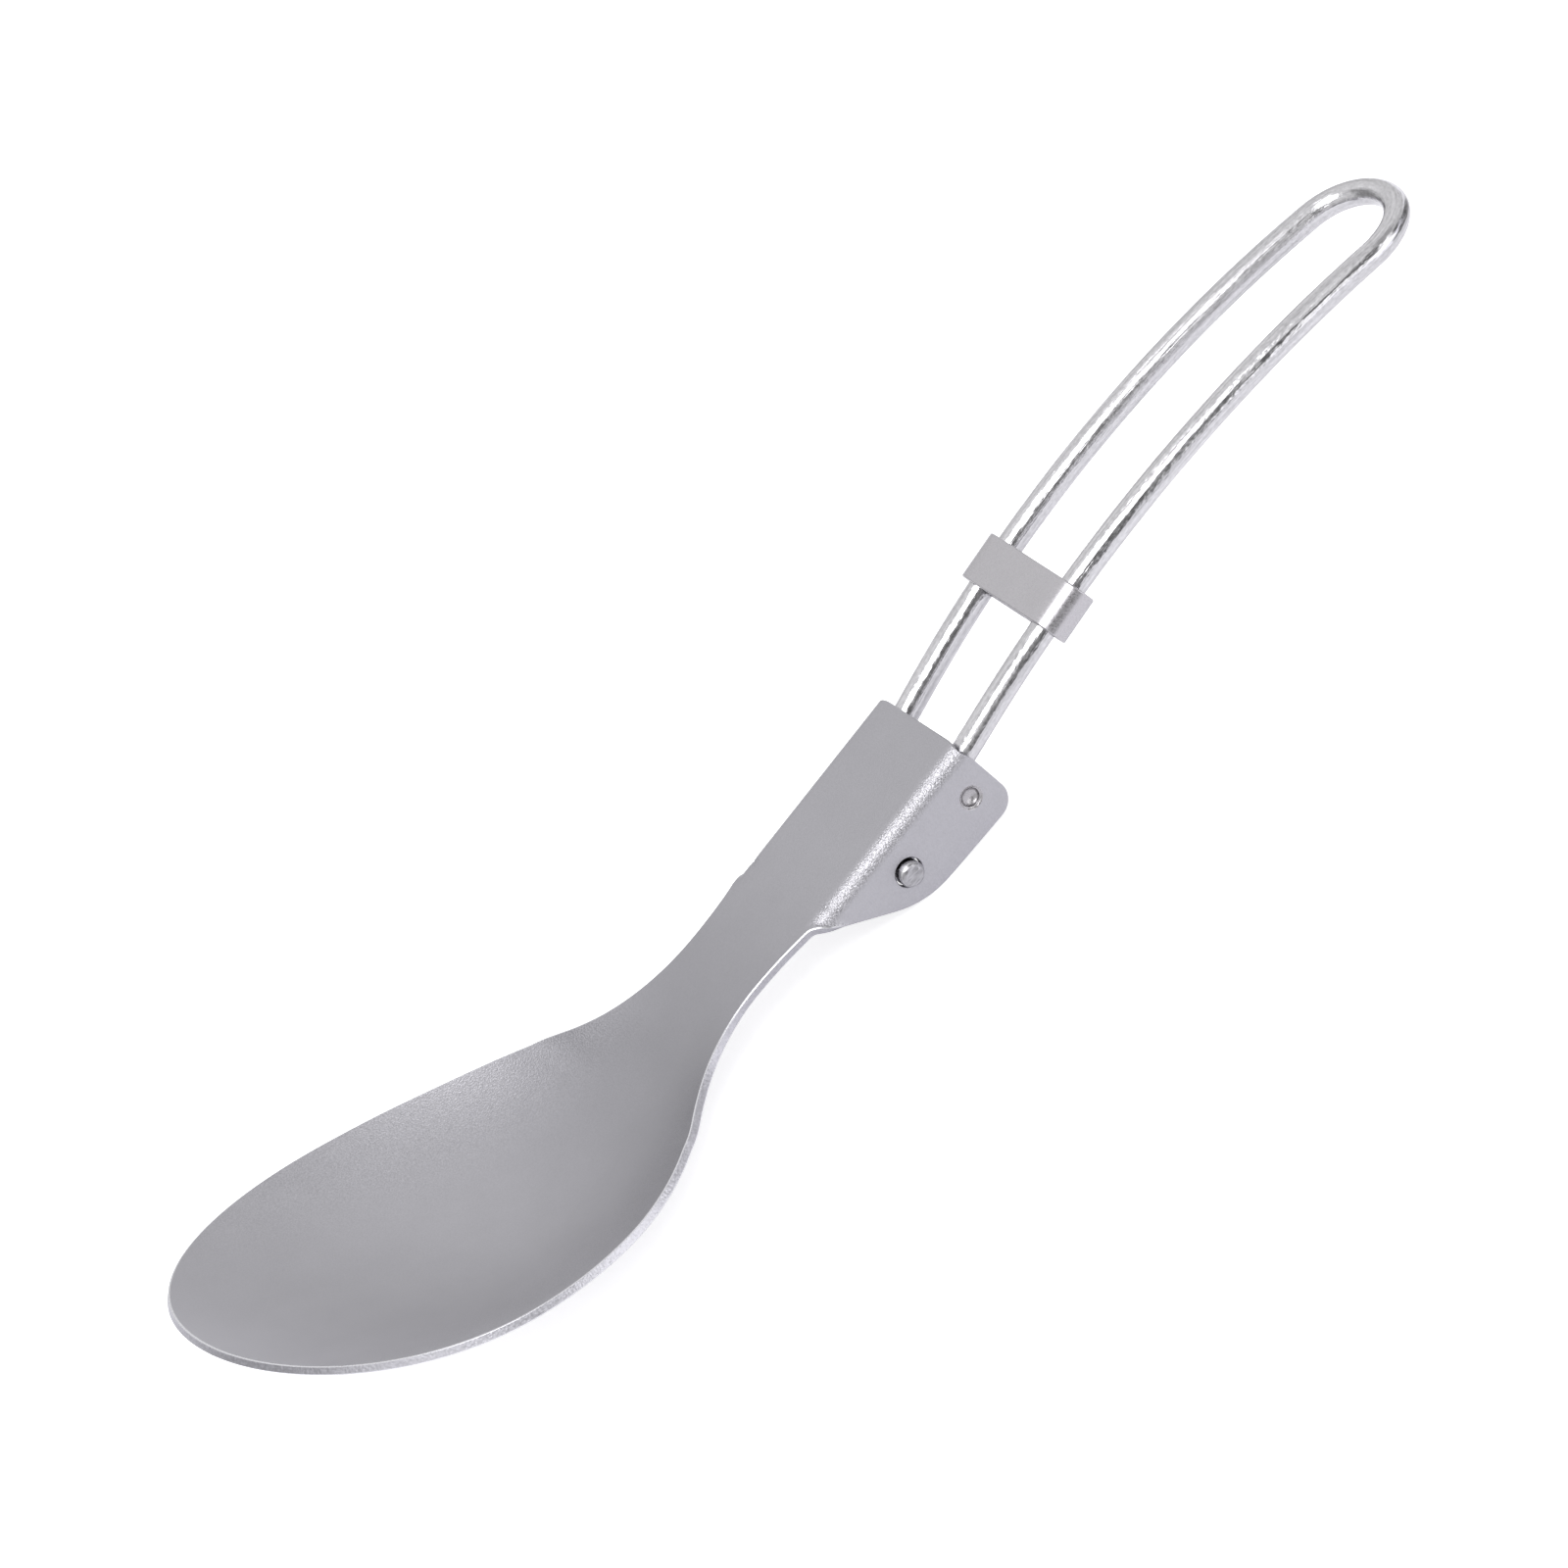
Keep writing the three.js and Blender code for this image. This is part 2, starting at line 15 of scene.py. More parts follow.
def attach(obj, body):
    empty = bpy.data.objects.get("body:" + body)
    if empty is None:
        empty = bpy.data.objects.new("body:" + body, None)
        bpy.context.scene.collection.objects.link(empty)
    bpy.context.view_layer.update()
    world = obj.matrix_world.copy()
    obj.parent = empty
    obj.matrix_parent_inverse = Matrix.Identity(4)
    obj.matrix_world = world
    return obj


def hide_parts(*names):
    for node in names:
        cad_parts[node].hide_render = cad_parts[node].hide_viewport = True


bl_info = {
    "name": "Folding camping spoon",
    "version": (1, 0, 0),
    "blender": (4, 5, 0),
    "location": "View3D > Sidebar > Spoon",
    "description": "Builds a folding spoon of titanium sheet and wire, and its studio",
    "category": "Add Mesh",
}

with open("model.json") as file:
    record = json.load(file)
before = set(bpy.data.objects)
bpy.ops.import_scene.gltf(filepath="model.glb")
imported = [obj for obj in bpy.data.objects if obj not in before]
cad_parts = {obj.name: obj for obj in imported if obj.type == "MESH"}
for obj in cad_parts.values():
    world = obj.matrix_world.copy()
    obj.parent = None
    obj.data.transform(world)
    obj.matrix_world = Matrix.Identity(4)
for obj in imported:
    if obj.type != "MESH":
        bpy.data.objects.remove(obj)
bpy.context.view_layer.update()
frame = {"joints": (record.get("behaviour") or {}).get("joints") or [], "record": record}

MM = 0.001
HINGE = Vector(next(joint["pos_m"] for joint in frame["joints"] if joint["name"] == "handle_fold"))
PLATE_NORMAL = next(m["axis"] for m in frame["record"]["mounts"] if m["name"] == "neck_plate")
TO_ROW = Matrix.Translation(HINGE) @ Matrix.Rotation(math.atan2(PLATE_NORMAL[0], PLATE_NORMAL[2]), 4, "Y")


def length(name, value_mm, description):
    """A size of the object, given in millimetres and kept in metres."""
    default = value_mm * MM
    return FloatProperty(name=name, description=description, default=default, unit="LENGTH", precision=5)


def turn(name, degrees, description):
    """An angle of the object, given in degrees."""
    return FloatProperty(name=name, description=description, default=math.radians(degrees), unit="ROTATION")


def tone(name, value, description):
    """A colour of a finish, as an sRGB hex value."""
    return StringProperty(name=name, description=description, default=value)


def number(name, value, description):
    """A plain number, such as a brightness or an exponent."""
    return FloatProperty(name=name, description=description, default=value)


class HeadSizes(bpy.types.PropertyGroup):
    """Sizes of the stamped head."""

    sheet: length("Sheet", 1.0, "Thickness of the titanium sheet")
    edge_round: length("Edge rounding", 0.14, "Radius that tumbling leaves on the sheared edges")
    hole_round: length("Hole rounding", 0.1, "Rounding of the edges of the hinge holes")
    channel_width: length("Channel width", 19.0, "Outside width over the two flanges")
    bend_radius: length("Bend radius", 2.0, "Outside radius of the bends between plate and flanges")
    hinge_drop: length("Hinge drop", 5.1, "Depth of the hinge axis below the top of the plate")
    hinge_to_rear: length("Hinge to rear", 13.8, "Distance from the hinge axis to the rear edge")
    flange_depth: length("Flange depth", 10.15, "Depth of the flanges at the rear edge")
    flange_taper: turn("Flange taper", 2.6, "Slope of the lower edge of the flanges")
    flange_rear_radius: length("Flange corner", 2.6, "Radius of the rear lower corner of the flanges")
    heel_ahead: length("Heel ahead", 1.2, "Where ramp and lower edge would meet, ahead of the hinge")
    heel_radius: length("Heel radius", 11.5, "Radius between the ramp and the lower edge")
    ramp_angle: turn("Ramp angle", 40, "Slope of the front edge of the flanges")
    fold_full: length("Fold full", 7.9, "Distance ahead of the hinge up to which the flanges stand square")
    fold_start: length("Fold start", 12.3, "Distance ahead of the hinge where the flanges start to turn down")
    ramp_front: length("Ramp front", 8, "Distance ahead of the hinge where the ramp steepens")
    ramp_front_angle: turn("Ramp front angle", 46.4, "Slope of the steeper ramp, in the flat blank")
    throat_blend: length("Throat blend", 0.3, "Softness of the corner between the neck and the ramp")
    rear_relief: length("Rear relief", 0.28, "How far the rear edge is drawn in over the bends")
    hole_clearance: length("Hole clearance", 0.2, "Gap round the hinge pins")
    dimple_ahead_of_rear: length("Dimple ahead of rear", 3.3, "Distance from the rear edge to the dimple")
    dimple_below_hinge: length("Dimple below hinge", 0.26, "Height of the hinge over the dimple")
    dimple_radius: length("Dimple radius", 1.12, "Radius of the punched dimple at the outer face")
    dimple_lip: length("Dimple lip", 0.34, "Width of the sheet drawn in round the dimple")
    dimple_lip_depth: length("Dimple lip depth", 0.2, "How far the sheet is drawn in round the dimple")
    dimple_cup_depth: length("Dimple cup depth", 0.68, "Depth of the round cup inside the dimple's lip")
    bump_height: length("Bump height", 0.3, "Height of the dimple at the inner face")
    neck_half_width: length("Neck half width", 7.88, "Half the least width of the neck")
    neck_to_hinge: length("Neck to hinge", 19.9, "Distance from the hinge to the neck's waist")
    neck_rear_radius: length("Neck rear radius", 42, "Radius of the edge behind the neck's waist")
    neck_front_radius: length("Neck front radius", 20.8, "Radius of the edge ahead of the neck's waist")
    bowl_half_width: length("Bowl half width", 26.9, "Half the greatest width of the bowl")
    bowl_widest_to_hinge: length("Bowl widest", 63.3, "Distance from the hinge to the bowl's widest place")
    bowl_front_length: length("Bowl front", 24.5, "Length from the widest place to the tip")
    bowl_front_squareness: number("Front squareness", 2.05, "Exponent of the front outline")
    bowl_rear_length: length("Bowl rear", 33.9, "Length of the egg behind the widest place")
    bowl_rear_squareness: number("Rear squareness", 1.87, "Exponent of the rear outline")
    shoulder_to_hinge: length("Shoulder", 36.5, "Distance from the hinge to where neck and egg join")
    shoulder_length: length("Shoulder length", 6.0, "Length in which neck and egg join")
    neck_rise: turn("Neck rise", 2.1, "Slope of the neck above the plate")
    neck_rise_to_hinge: length("Neck rise start", 13.0, "Distance from the hinge to where the neck rises")
    rim_bend_to_hinge: length("Rim bend", 31.5, "Distance from the hinge to where the rim bends up")
    rim_bend_radius: length("Rim bend radius", 63.0, "Radius of the bend of the rim")
    rim_bend_angle: turn("Rim bend angle", 18.2, "Turn of the bend of the rim")
    rim_sweep_radius: length("Rim sweep", 149.5, "Radius of the long sweep to the tip")
    dish_depth: length("Dish depth", 7.0, "Greatest depth of the bowl below its rim")
    dish_deepest_to_hinge: length("Dish deepest", 60.0, "Distance from the hinge to the deepest place")
    dish_start_to_hinge: length("Dish start", 22.0, "Distance from the hinge to where the dish starts")
    dish_rear_power: number("Dish rear power", 1.5, "Softness of the dish at the neck")
    patch_start_to_hinge: length("Bowl grid start", 31.0, "Distance from the hinge to the bowl's own grid")
    colour: tone("Colour", "#ABAAAF", "Bead-blasted titanium")
    # A darker tone of the same sheet over the neck and shoulder.
    neck_colour: tone("Neck colour", "#9F9EA3", "The same sheet where it was stretched, over the neck")
    # Paler than the sheet: a painted highlight on the tumbled corner round the neck and bowl.
    edge_highlight_colour: tone("Edge colour", "#D2D2D6", "Corner of the sheet round neck and bowl, tumbled")
    wall_colour: tone("Wall colour", "#A7A6AC", "Sheared wall of the sheet on the neck and the flanges")
    # Lighter than the wall's own colour: painted light on the wall round the bowl.
    rim_light_colour: tone("Rim colour", "#C6C5CC", "Sheared wall of the sheet round the bowl, ground bright")
    # A touch darker than the sheet: painted shade in the dimple's hollow.
    dimple_shade_colour: tone("Dimple colour", "#A9A7AA", "Titanium rubbed by the punch")
    # Painted shade: the dark ring in the hole round each pin.
    hole_shade_colour: tone("Hole colour", "#5A595C", "Pierced wall of the hinge holes, never blasted")


class WireSizes(bpy.types.PropertyGroup):
    """Sizes of the bent wire handle."""

    radius: length("Wire radius", 1.5, "Radius of the wire")
    pin_proud: length("Pin proud", 1.12, "How far the pins stand out of the flanges")
    pin_chamfer: length("Pin chamfer", 0.5, "How much the rounding takes off the radius of the pin ends")
    pin_rounding: length("Pin rounding", 0.6, "Length of the rounding along the pins")
    pin_bend_radius: length("Pin bend", 1.9, "Centre-line radius of the bend behind each pin")
    leg_half_spacing: length("Leg half spacing", 7.42, "Half the greatest distance between the legs")
    leg_bow_radius: length("Leg bow", 1150, "Radius of the slight outward bow of the legs")
    leg_widest_to_hinge: length("Leg widest", 54, "Distance from the hinge to the legs' widest place")
    loop_centre_to_hinge: length("Loop centre", 84.1, "Distance from the hinge to the centre of the end loop")
    arch_rise: turn("Arch rise", 9.4, "Slope of the legs at the hinge")
    arch_start: length("Arch start", 18, "Length of the straight stretch behind the hinge")
    arch_radius: length("Arch radius", 172, "Radius of the arch of the legs")
    colour: tone("Colour", "#C6C5C8", "Drawn titanium wire")
    end_colour: tone("End colour", "#A09FA3", "Sheared face of the pin ends")


class CollarSizes(bpy.types.PropertyGroup):
    """Sizes of the strip collar."""

    sheet: length("Strip", 0.65, "Thickness of the strip")
    clearance: length("Clearance", 0.3, "Gap round the legs")
    slack: length("Slack", 0.28, "How much further the strip stands off the near leg")
    sag: length("Sag", 0.1, "How far the collar hangs below the middle of the legs")
    width: length("Width", 5.7, "Width of the strip along the legs")
    to_hinge: length("To hinge", 32.8, "Distance along the legs from the hinge to the collar")
    seam: length("Seam", 0.5, "Gap between the ends of the strip, under the handle")
    edge_round: length("Edge rounding", 0.2, "Radius on the edges of the strip")
    colour: tone("Colour", "#B6B4B8", "Satin titanium strip")


class StageSizes(bpy.types.PropertyGroup):
    """The table, the tent round it, the soft box and the camera."""

    distance: length("Distance", 8000, "Distance of the camera")
    frame_width: length("Frame width", 169.6, "Width of the photograph at the object")
    aim_right: length("Aim right", -9.135, "How far right of the hinge the camera looks")
    aim_up: length("Aim up", 6.671, "How far above the hinge the camera looks")
    table_reach: length("Table reach", 3000, "Distance from the middle of the table to its edges")
    floor_colour: tone("Floor", "#F7F7F8", "White table")
    floor_glow: number("Floor glow", 0.7, "White that the floor adds for the camera")
    floor_shine: number("Floor shine", 0.27, "White that the floor adds in reflections")
    shine_colour: tone("Shine", "#EFEEFB", "Tone of the floor in reflections")
    wall_tone: number("Walls", 0.72, "Light that the tent's walls give the table")
    low_wall_tone: number("Low walls", 0.74, "Brightness of the walls at the table, in reflections")
    high_wall_tone: number("High walls", 1.04, "Brightness of the walls near the top, in reflections")
    corner_tone: number("Corner", 0.58, "Brightness of the corner beside the soft box")
    gap_tone: number("Gap", 0.23, "Brightness of the open front of the tent")
    bowl_end_tone: number("Bowl end", 0.4, "Brightness of the end behind the bowl")
    window_tone: number("Window", 2.2, "Brightness of the window beside the opening")
    far_end_tone: number("Far end", 0.2, "Brightness of the end behind the loop")
    overhead_power: FloatProperty(
        name="Overhead", description="Power of the soft box", default=7.4, unit="POWER")
    overhead_width: length("Overhead width", 800, "Width of the soft box")
    overhead_length: length("Overhead length", 880, "Length of the soft box")
    overhead_reach: length("Overhead reach", 1200, "Distance of the soft box from the middle of the table")
    overhead_shift: length("Overhead shift", 192, "How far the soft box hangs to the bowl's side")
    overhead_lean: turn("Overhead lean", 26, "How far the soft box leans toward the open front")
    backdrop_colour: tone("Backdrop", "#FFFFFF", "White backdrop")


def linear(hex_value):
    """An sRGB hex value as a linear colour with alpha."""
    parts = [int(hex_value[i:i + 2], 16) / 255 for i in (1, 3, 5)]
    return [p / 12.92 if p <= 0.04045 else ((p + 0.055) / 1.055) ** 2.4 for p in parts] + [1.0]


def add(tree, kind, settings=None, links=None):
    """Adds a node: settings go to its sockets or attributes, links come from other nodes' outputs."""
    node = tree.nodes.new(kind)
    for key, value in (settings or {}).items():
        if isinstance(key, int) or key in node.inputs:
            node.inputs[key].default_value = value
        else:
            setattr(node, key, value)
    for key, source in (links or {}).items():
        tree.links.new(source, node.inputs[key])
    return node


def mix(a, b, t):
    return a + (b - a) * t


def clamp(value, low=0.0, high=1.0):
    return min(max(value, low), high)


def smooth(value, start, end):
    t = clamp((value - start) / (end - start))
    return t * t * (3 - 2 * t)


# The head

def half_width(s, ahead):
    """Half the width of the neck and bowl in plan, at a distance ahead of the hinge."""
    from_neck = max(ahead, s.fold_full) - s.neck_to_hinge
    radius = s.neck_rear_radius if from_neck < 0 else s.neck_front_radius
    neck = s.neck_half_width + radius - math.sqrt(max(radius ** 2 - from_neck ** 2, 0))
    from_widest = ahead - s.bowl_widest_to_hinge
    if from_widest >= 0:
        along, power = clamp(from_widest / s.bowl_front_length), s.bowl_front_squareness
        return s.bowl_half_width * (1 - along ** power) ** (1 / power)
    along, power = clamp(-from_widest / s.bowl_rear_length), s.bowl_rear_squareness
    egg = s.bowl_half_width * (1 - along ** power) ** (1 / power)
    half = s.shoulder_length / 2
    return mix(neck, egg, smooth(ahead, s.shoulder_to_hinge - half, s.shoulder_to_hinge + half))


def rim_rise(s, ahead):
    """Height of the rim above the plate, at a distance ahead of the hinge."""
    rise = math.tan(s.neck_rise) * max(ahead - s.neck_rise_to_hinge, 0)
    from_bend = ahead - s.rim_bend_to_hinge
    if from_bend <= 0:
        return rise
    run = s.rim_bend_radius * math.sin(s.rim_bend_angle)
    if from_bend <= run:
        return rise + s.rim_bend_radius - math.sqrt(s.rim_bend_radius ** 2 - from_bend ** 2)
    sweep = from_bend - run + s.rim_sweep_radius * math.sin(s.rim_bend_angle)
    bend_rise = s.rim_bend_radius * (1 - math.cos(s.rim_bend_angle))
    top = s.rim_sweep_radius * math.cos(s.rim_bend_angle)
    return rise + bend_rise + top - math.sqrt(s.rim_sweep_radius ** 2 - sweep ** 2)


def dish(s, ahead, across):
    """Depth of the bowl below its rim. It runs on past the rim, so that slopes can be taken there."""
    deepest, start = s.dish_deepest_to_hinge, s.dish_start_to_hinge
    if ahead <= start:
        return 0
    if ahead < deepest:
        middle = (1 - ((deepest - ahead) / (deepest - start)) ** 2) ** s.dish_rear_power
        return s.dish_depth * middle * (1 - (across / half_width(s, ahead)) ** 2)
    tip = s.bowl_widest_to_hinge + s.bowl_front_length
    inside = min(ahead, tip - s.sheet / 4)
    middle, middle_inside = (1 - ((a - deepest) / (tip - deepest)) ** 2 for a in (ahead, inside))
    return s.dish_depth * (middle - middle_inside * (across / half_width(s, inside)) ** 2)


def bend_span(s):
    """Distances across the flat blank at which the bend to a flange starts and ends."""
    start = s.channel_width / 2 - s.bend_radius
    return start, start + s.bend_radius * math.pi / 2


def folded(s, ahead, across):
    """Where a distance across the flat sheet comes to lie once the flanges are bent: across and down."""
    side, distance = math.copysign(1, across), abs(across)
    flat, _ = bend_span(s)
    full = math.pi / 2 * (1 - smooth(ahead, s.fold_full, s.fold_start))
    if distance <= flat or full == 0:
        return across, 0
    angle = min((distance - flat) / s.bend_radius, full)
    beyond = distance - flat - s.bend_radius * angle
    y = flat + s.bend_radius * math.sin(angle) + beyond * math.cos(angle)
    return side * y, s.bend_radius * (1 - math.cos(angle)) + beyond * math.sin(angle)


def formed(s, x, across):
    """A point of the upper face of the sheet, from its place in the flat blank."""
    y, fall = folded(s, -x, across)
    return Vector((x, y, s.hinge_drop + rim_rise(s, -x) - dish(s, -x, across) - fall))


SLOPE_STEP = 0.02 * MM


def formed_normal(s, x, across):
    """Upward normal of the formed sheet, from its slopes over a short step both ways."""
    along = formed(s, x + SLOPE_STEP, across) - formed(s, x - SLOPE_STEP, across)
    sideways = formed(s, x, across + SLOPE_STEP) - formed(s, x, across - SLOPE_STEP)
    return along.cross(sideways).normalized()


def flange_edge(s, x):
    """Height of the lower edge of the flanges in side view: ramp, heel, taper and rear corner."""
    heel_z = s.hinge_drop - s.flange_depth + (s.hinge_to_rear + s.heel_ahead) * math.tan(s.flange_taper)
    half = (math.pi - s.ramp_angle + s.flange_taper) / 2
    reach = s.heel_radius / math.tan(half)
    ramp_end = -s.heel_ahead - reach * math.cos(s.ramp_angle)
    taper_start = -s.heel_ahead + reach * math.cos(s.flange_taper)
    ramp_end_z = heel_z + reach * math.sin(s.ramp_angle)
    if x < ramp_end:
        return ramp_end_z + (ramp_end - x) * math.tan(s.ramp_angle)
    if x < taper_start:
        centre_x = ramp_end + s.heel_radius * math.sin(s.ramp_angle)
        centre_z = ramp_end_z + s.heel_radius * math.cos(s.ramp_angle)
        return centre_z - math.sqrt(s.heel_radius ** 2 - (x - centre_x) ** 2)
    line = heel_z - (x + s.heel_ahead) * math.tan(s.flange_taper)
    radius = s.flange_rear_radius
    into = x - (s.hinge_to_rear - radius)
    if into <= 0:
        return line
    return line + radius - math.sqrt(max(radius ** 2 - min(into, radius) ** 2, 0))


def unfolded(s, x):
    """Distance across the flat blank to the lower edge of a flange."""
    fall = s.hinge_drop - flange_edge(s, x)
    flat, bend_end = bend_span(s)
    if fall < s.bend_radius:
        return flat + s.bend_radius * math.acos(1 - fall / s.bend_radius)
    return bend_end + fall - s.bend_radius


def blank_half_width(s, x):
    """Half the width of the flat blank: the neck and bowl, or the flanges laid out flat."""
    neck = half_width(s, -x)
    if -x > s.fold_start + s.neck_rise_to_hinge:
        return neck
    flange = unfolded(s, max(x, -s.ramp_front)) + min(x + s.ramp_front, 0) * math.tan(s.ramp_front_angle)
    return (neck + flange + math.sqrt((neck - flange) ** 2 + s.throat_blend ** 2)) / 2


# Fineness of the sheet's grid, and the cells cleared round its holes and dimples
PLATE_COLUMNS = 12
BEND_COLUMNS = 8
FLANGE_COLUMNS = 20
HALF_COLUMNS = PLATE_COLUMNS + BEND_COLUMNS + FLANGE_COLUMNS
OUTLINE_STEPS = 600
BOWL_ROWS = 76
NECK_ROWS = 30
CHANNEL_ROWS = 62
CORNER_ROWS = 14
PATCH_RINGS = 4
LIP_RINGS = 8
CUP_RINGS = 16
HOLE_MARGIN = 0.6 * MM
DIMPLE_MARGIN = 0.5 * MM


def column_places(s, x):
    """Places of the columns on one half of a row: even on the neck, and gathered in the channel's bends."""
    reach = blank_half_width(s, x)
    flat, bend_end = bend_span(s)
    gathered = smooth(reach, bend_end, bend_end + s.bend_radius)
    places = []
    for j in range(HALF_COLUMNS + 1):
        if j <= PLATE_COLUMNS:
            place = flat * j / PLATE_COLUMNS
        elif j <= PLATE_COLUMNS + BEND_COLUMNS:
            place = mix(flat, bend_end, (j - PLATE_COLUMNS) / BEND_COLUMNS)
        else:
            place = mix(bend_end, reach, (j - PLATE_COLUMNS - BEND_COLUMNS) / FLANGE_COLUMNS)
        places.append(mix(reach * j / HALF_COLUMNS, place, gathered))
    return places


# How far the drawn-in rear edge reaches to both sides of a bend's middle, as a share of the bend
RELIEF_SHARE = 0.75


def rear_edge(s, x, across):
    """Draws the rear edge in a little over the bends, where the sheet was stretched."""
    flat, bend_end = bend_span(s)
    over_bend = 1 - clamp(abs(abs(across) - (flat + bend_end) / 2) / (RELIEF_SHARE * (bend_end - flat)))
    near_rear = smooth(x, s.hinge_to_rear - 2 * s.bend_radius, s.hinge_to_rear)
    return x - s.rear_relief * near_rear * smooth(over_bend, 0, 1)


def bowl_rows(s):
    """Rows of the bowl from tip to neck, as a four-sided patch: two sides of the outline and the tip arc."""
    tip = s.bowl_widest_to_hinge + s.bowl_front_length
    outline = []
    for k in range(OUTLINE_STEPS + 1):
        t = k / OUTLINE_STEPS
        if t < 0.5:
            ahead = mix(s.patch_start_to_hinge, s.bowl_widest_to_hinge, 2 * t)
            outline.append((ahead, half_width(s, ahead)))
        else:
            angle = (2 * t - 1) * math.pi / 2
            power = 2 / s.bowl_front_squareness
            ahead = s.bowl_widest_to_hinge + s.bowl_front_length * math.sin(angle) ** power
            outline.append((ahead, s.bowl_half_width * max(math.cos(angle), 0) ** power))
    outline[-1] = (tip, 0.0)
    runs = [0.0]
    for (a, b), (c, d) in zip(outline, outline[1:]):
        runs.append(runs[-1] + math.hypot(c - a, d - b))

    def at(run):
        k = next((k for k in range(1, len(runs)) if runs[k] >= run), len(runs) - 1)
        t = clamp((run - runs[k - 1]) / (runs[k] - runs[k - 1]))
        return [mix(outline[k - 1][i], outline[k][i], t) for i in (0, 1)]

    # Each corner of the patch is half-way along the quarter ellipse between the widest place and the tip.
    corner_run = runs[-1] - 0.5 * (s.bowl_half_width + s.bowl_front_length) * math.pi / 4
    corner = at(corner_run)
    arc = [at(mix(runs[-1], corner_run, j / HALF_COLUMNS)) for j in range(HALF_COLUMNS + 1)]
    rows = []
    for i in range(BOWL_ROWS + 1):
        t = 1 - i / BOWL_ROWS
        side = at(corner_run * t)
        row = []
        for j in range(-HALF_COLUMNS, HALF_COLUMNS + 1):
            end, u = arc[abs(j)], j / HALF_COLUMNS
            ahead = side[0] + t * (end[0] - corner[0])
            across = u * side[1] + t * (math.copysign(end[1], j) - u * corner[1])
            row.append((-ahead, across))
        rows.append(row)
    return rows


def bands(outer, inner):
    """Faces between two closed rings of as many points."""
    count = len(outer)
    return [(outer[k], outer[(k + 1) % count], inner[(k + 1) % count], inner[k]) for k in range(count)]


def head_blank(s, hole_radius):
    """The flat blank: points, their distance from a dimple's middle if they lie in one, and faces."""
    rows = bowl_rows(s)
    neck_end = -(s.fold_start + s.bend_radius / 2)
    corner = s.hinge_to_rear - s.flange_rear_radius
    stations = [mix(-s.patch_start_to_hinge, neck_end, (i + 1) / NECK_ROWS) for i in range(NECK_ROWS)]
    stations += [mix(neck_end, corner, (i + 1) / CHANNEL_ROWS) for i in range(CHANNEL_ROWS)]
    stations += [corner + s.flange_rear_radius * math.sin(i / CORNER_ROWS * math.pi / 2)
                 for i in range(1, CORNER_ROWS + 1)]
    for x in stations:
        places = column_places(s, x)
        across = [-p for p in reversed(places[1:])] + places
        rows.append([(rear_edge(s, x, v), v) for v in across])
    width = 2 * HALF_COLUMNS + 1
    points = [point for row in rows for point in row]
    pressed = [None] * len(points)
    xs = [row[HALF_COLUMNS][0] for row in rows]
    taken = set()
    faces = []

    def patch(centre, radii, margin, closed):
        """Cuts a block of cells out and fills it with rings round a hole or, closed, a dimple."""
        i0 = max(i for i in range(len(xs)) if xs[i] < centre[0] - margin)
        i1 = min(i for i in range(len(xs)) if xs[i] > centre[0] + margin)
        inside = [j for j in range(width) if abs(points[i0 * width + j][1] - centre[1]) < margin]
        j0, j1 = inside[0] - 1, inside[-1] + 1
        taken.update((i, j) for i in range(i0, i1) for j in range(j0, j1))
        loop = [i * width + j0 for i in range(i0, i1)] + [i1 * width + j for j in range(j0, j1)]
        loop += [i * width + j1 for i in range(i1, i0, -1)] + [i0 * width + j for j in range(j1, j0, -1)]
        outer = loop
        steps = [(k / PATCH_RINGS, radii[0]) for k in range(1, PATCH_RINGS)] + [(1.0, r) for r in radii]
        for nearness, radius in steps:
            ring = []
            for p in loop:
                away = Vector(points[p]) - Vector(centre)
                place = Vector(centre) + away.normalized() * mix(away.length, radius, nearness)
                ring.append(len(points))
                points.append(tuple(place))
                pressed.append(radius if closed and nearness == 1.0 else None)
            faces.extend(bands(outer, ring))
            outer = ring
        if closed:
            middle = len(points)
            points.append(tuple(centre))
            pressed.append(0.0)
            faces.extend((outer[k], outer[(k + 1) % len(outer)], middle) for k in range(len(outer)))

    hinge_across = bend_span(s)[1] + s.hinge_drop - s.bend_radius
    dimple = (s.hinge_to_rear - s.dimple_ahead_of_rear, hinge_across + s.dimple_below_hinge)
    lip_end = s.dimple_radius + s.dimple_lip
    cup = [mix(lip_end, s.dimple_radius, k / LIP_RINGS) for k in range(LIP_RINGS)]
    cup += [s.dimple_radius * math.sin(k / CUP_RINGS * math.pi / 2) for k in range(CUP_RINGS, 0, -1)]
    for side in (-1, 1):
        patch((0.0, side * hinge_across), [hole_radius], hole_radius + HOLE_MARGIN, False)
        patch((dimple[0], side * dimple[1]), cup, lip_end + DIMPLE_MARGIN, True)
    for i in range(len(rows) - 1):
        for j in range(width - 1):
            if (i, j) not in taken:
                a, b = i * width + j, (i + 1) * width + j
                faces.append((a, b, b + 1, a + 1))
    return points, pressed, faces


# How far the bump inside a flange spreads past the radius of its dimple
BUMP_SPREAD = 1.12


def dimple_depth(s, radius):
    """Depth of the outer face at a distance from the middle of a dimple: a drawn-in lip, then a round cup."""
    lip = s.dimple_lip_depth * (1 - smooth(radius, s.dimple_radius, s.dimple_radius + s.dimple_lip))
    return lip + s.dimple_cup_depth * math.sqrt(1 - clamp(radius / s.dimple_radius) ** 2)


def bump_at(s, radius):
    """Height of the inner face at a distance from the middle of a dimple."""
    return s.bump_height * 0.5 * (1 + math.cos(math.pi * clamp(radius / (BUMP_SPREAD * s.dimple_radius))))


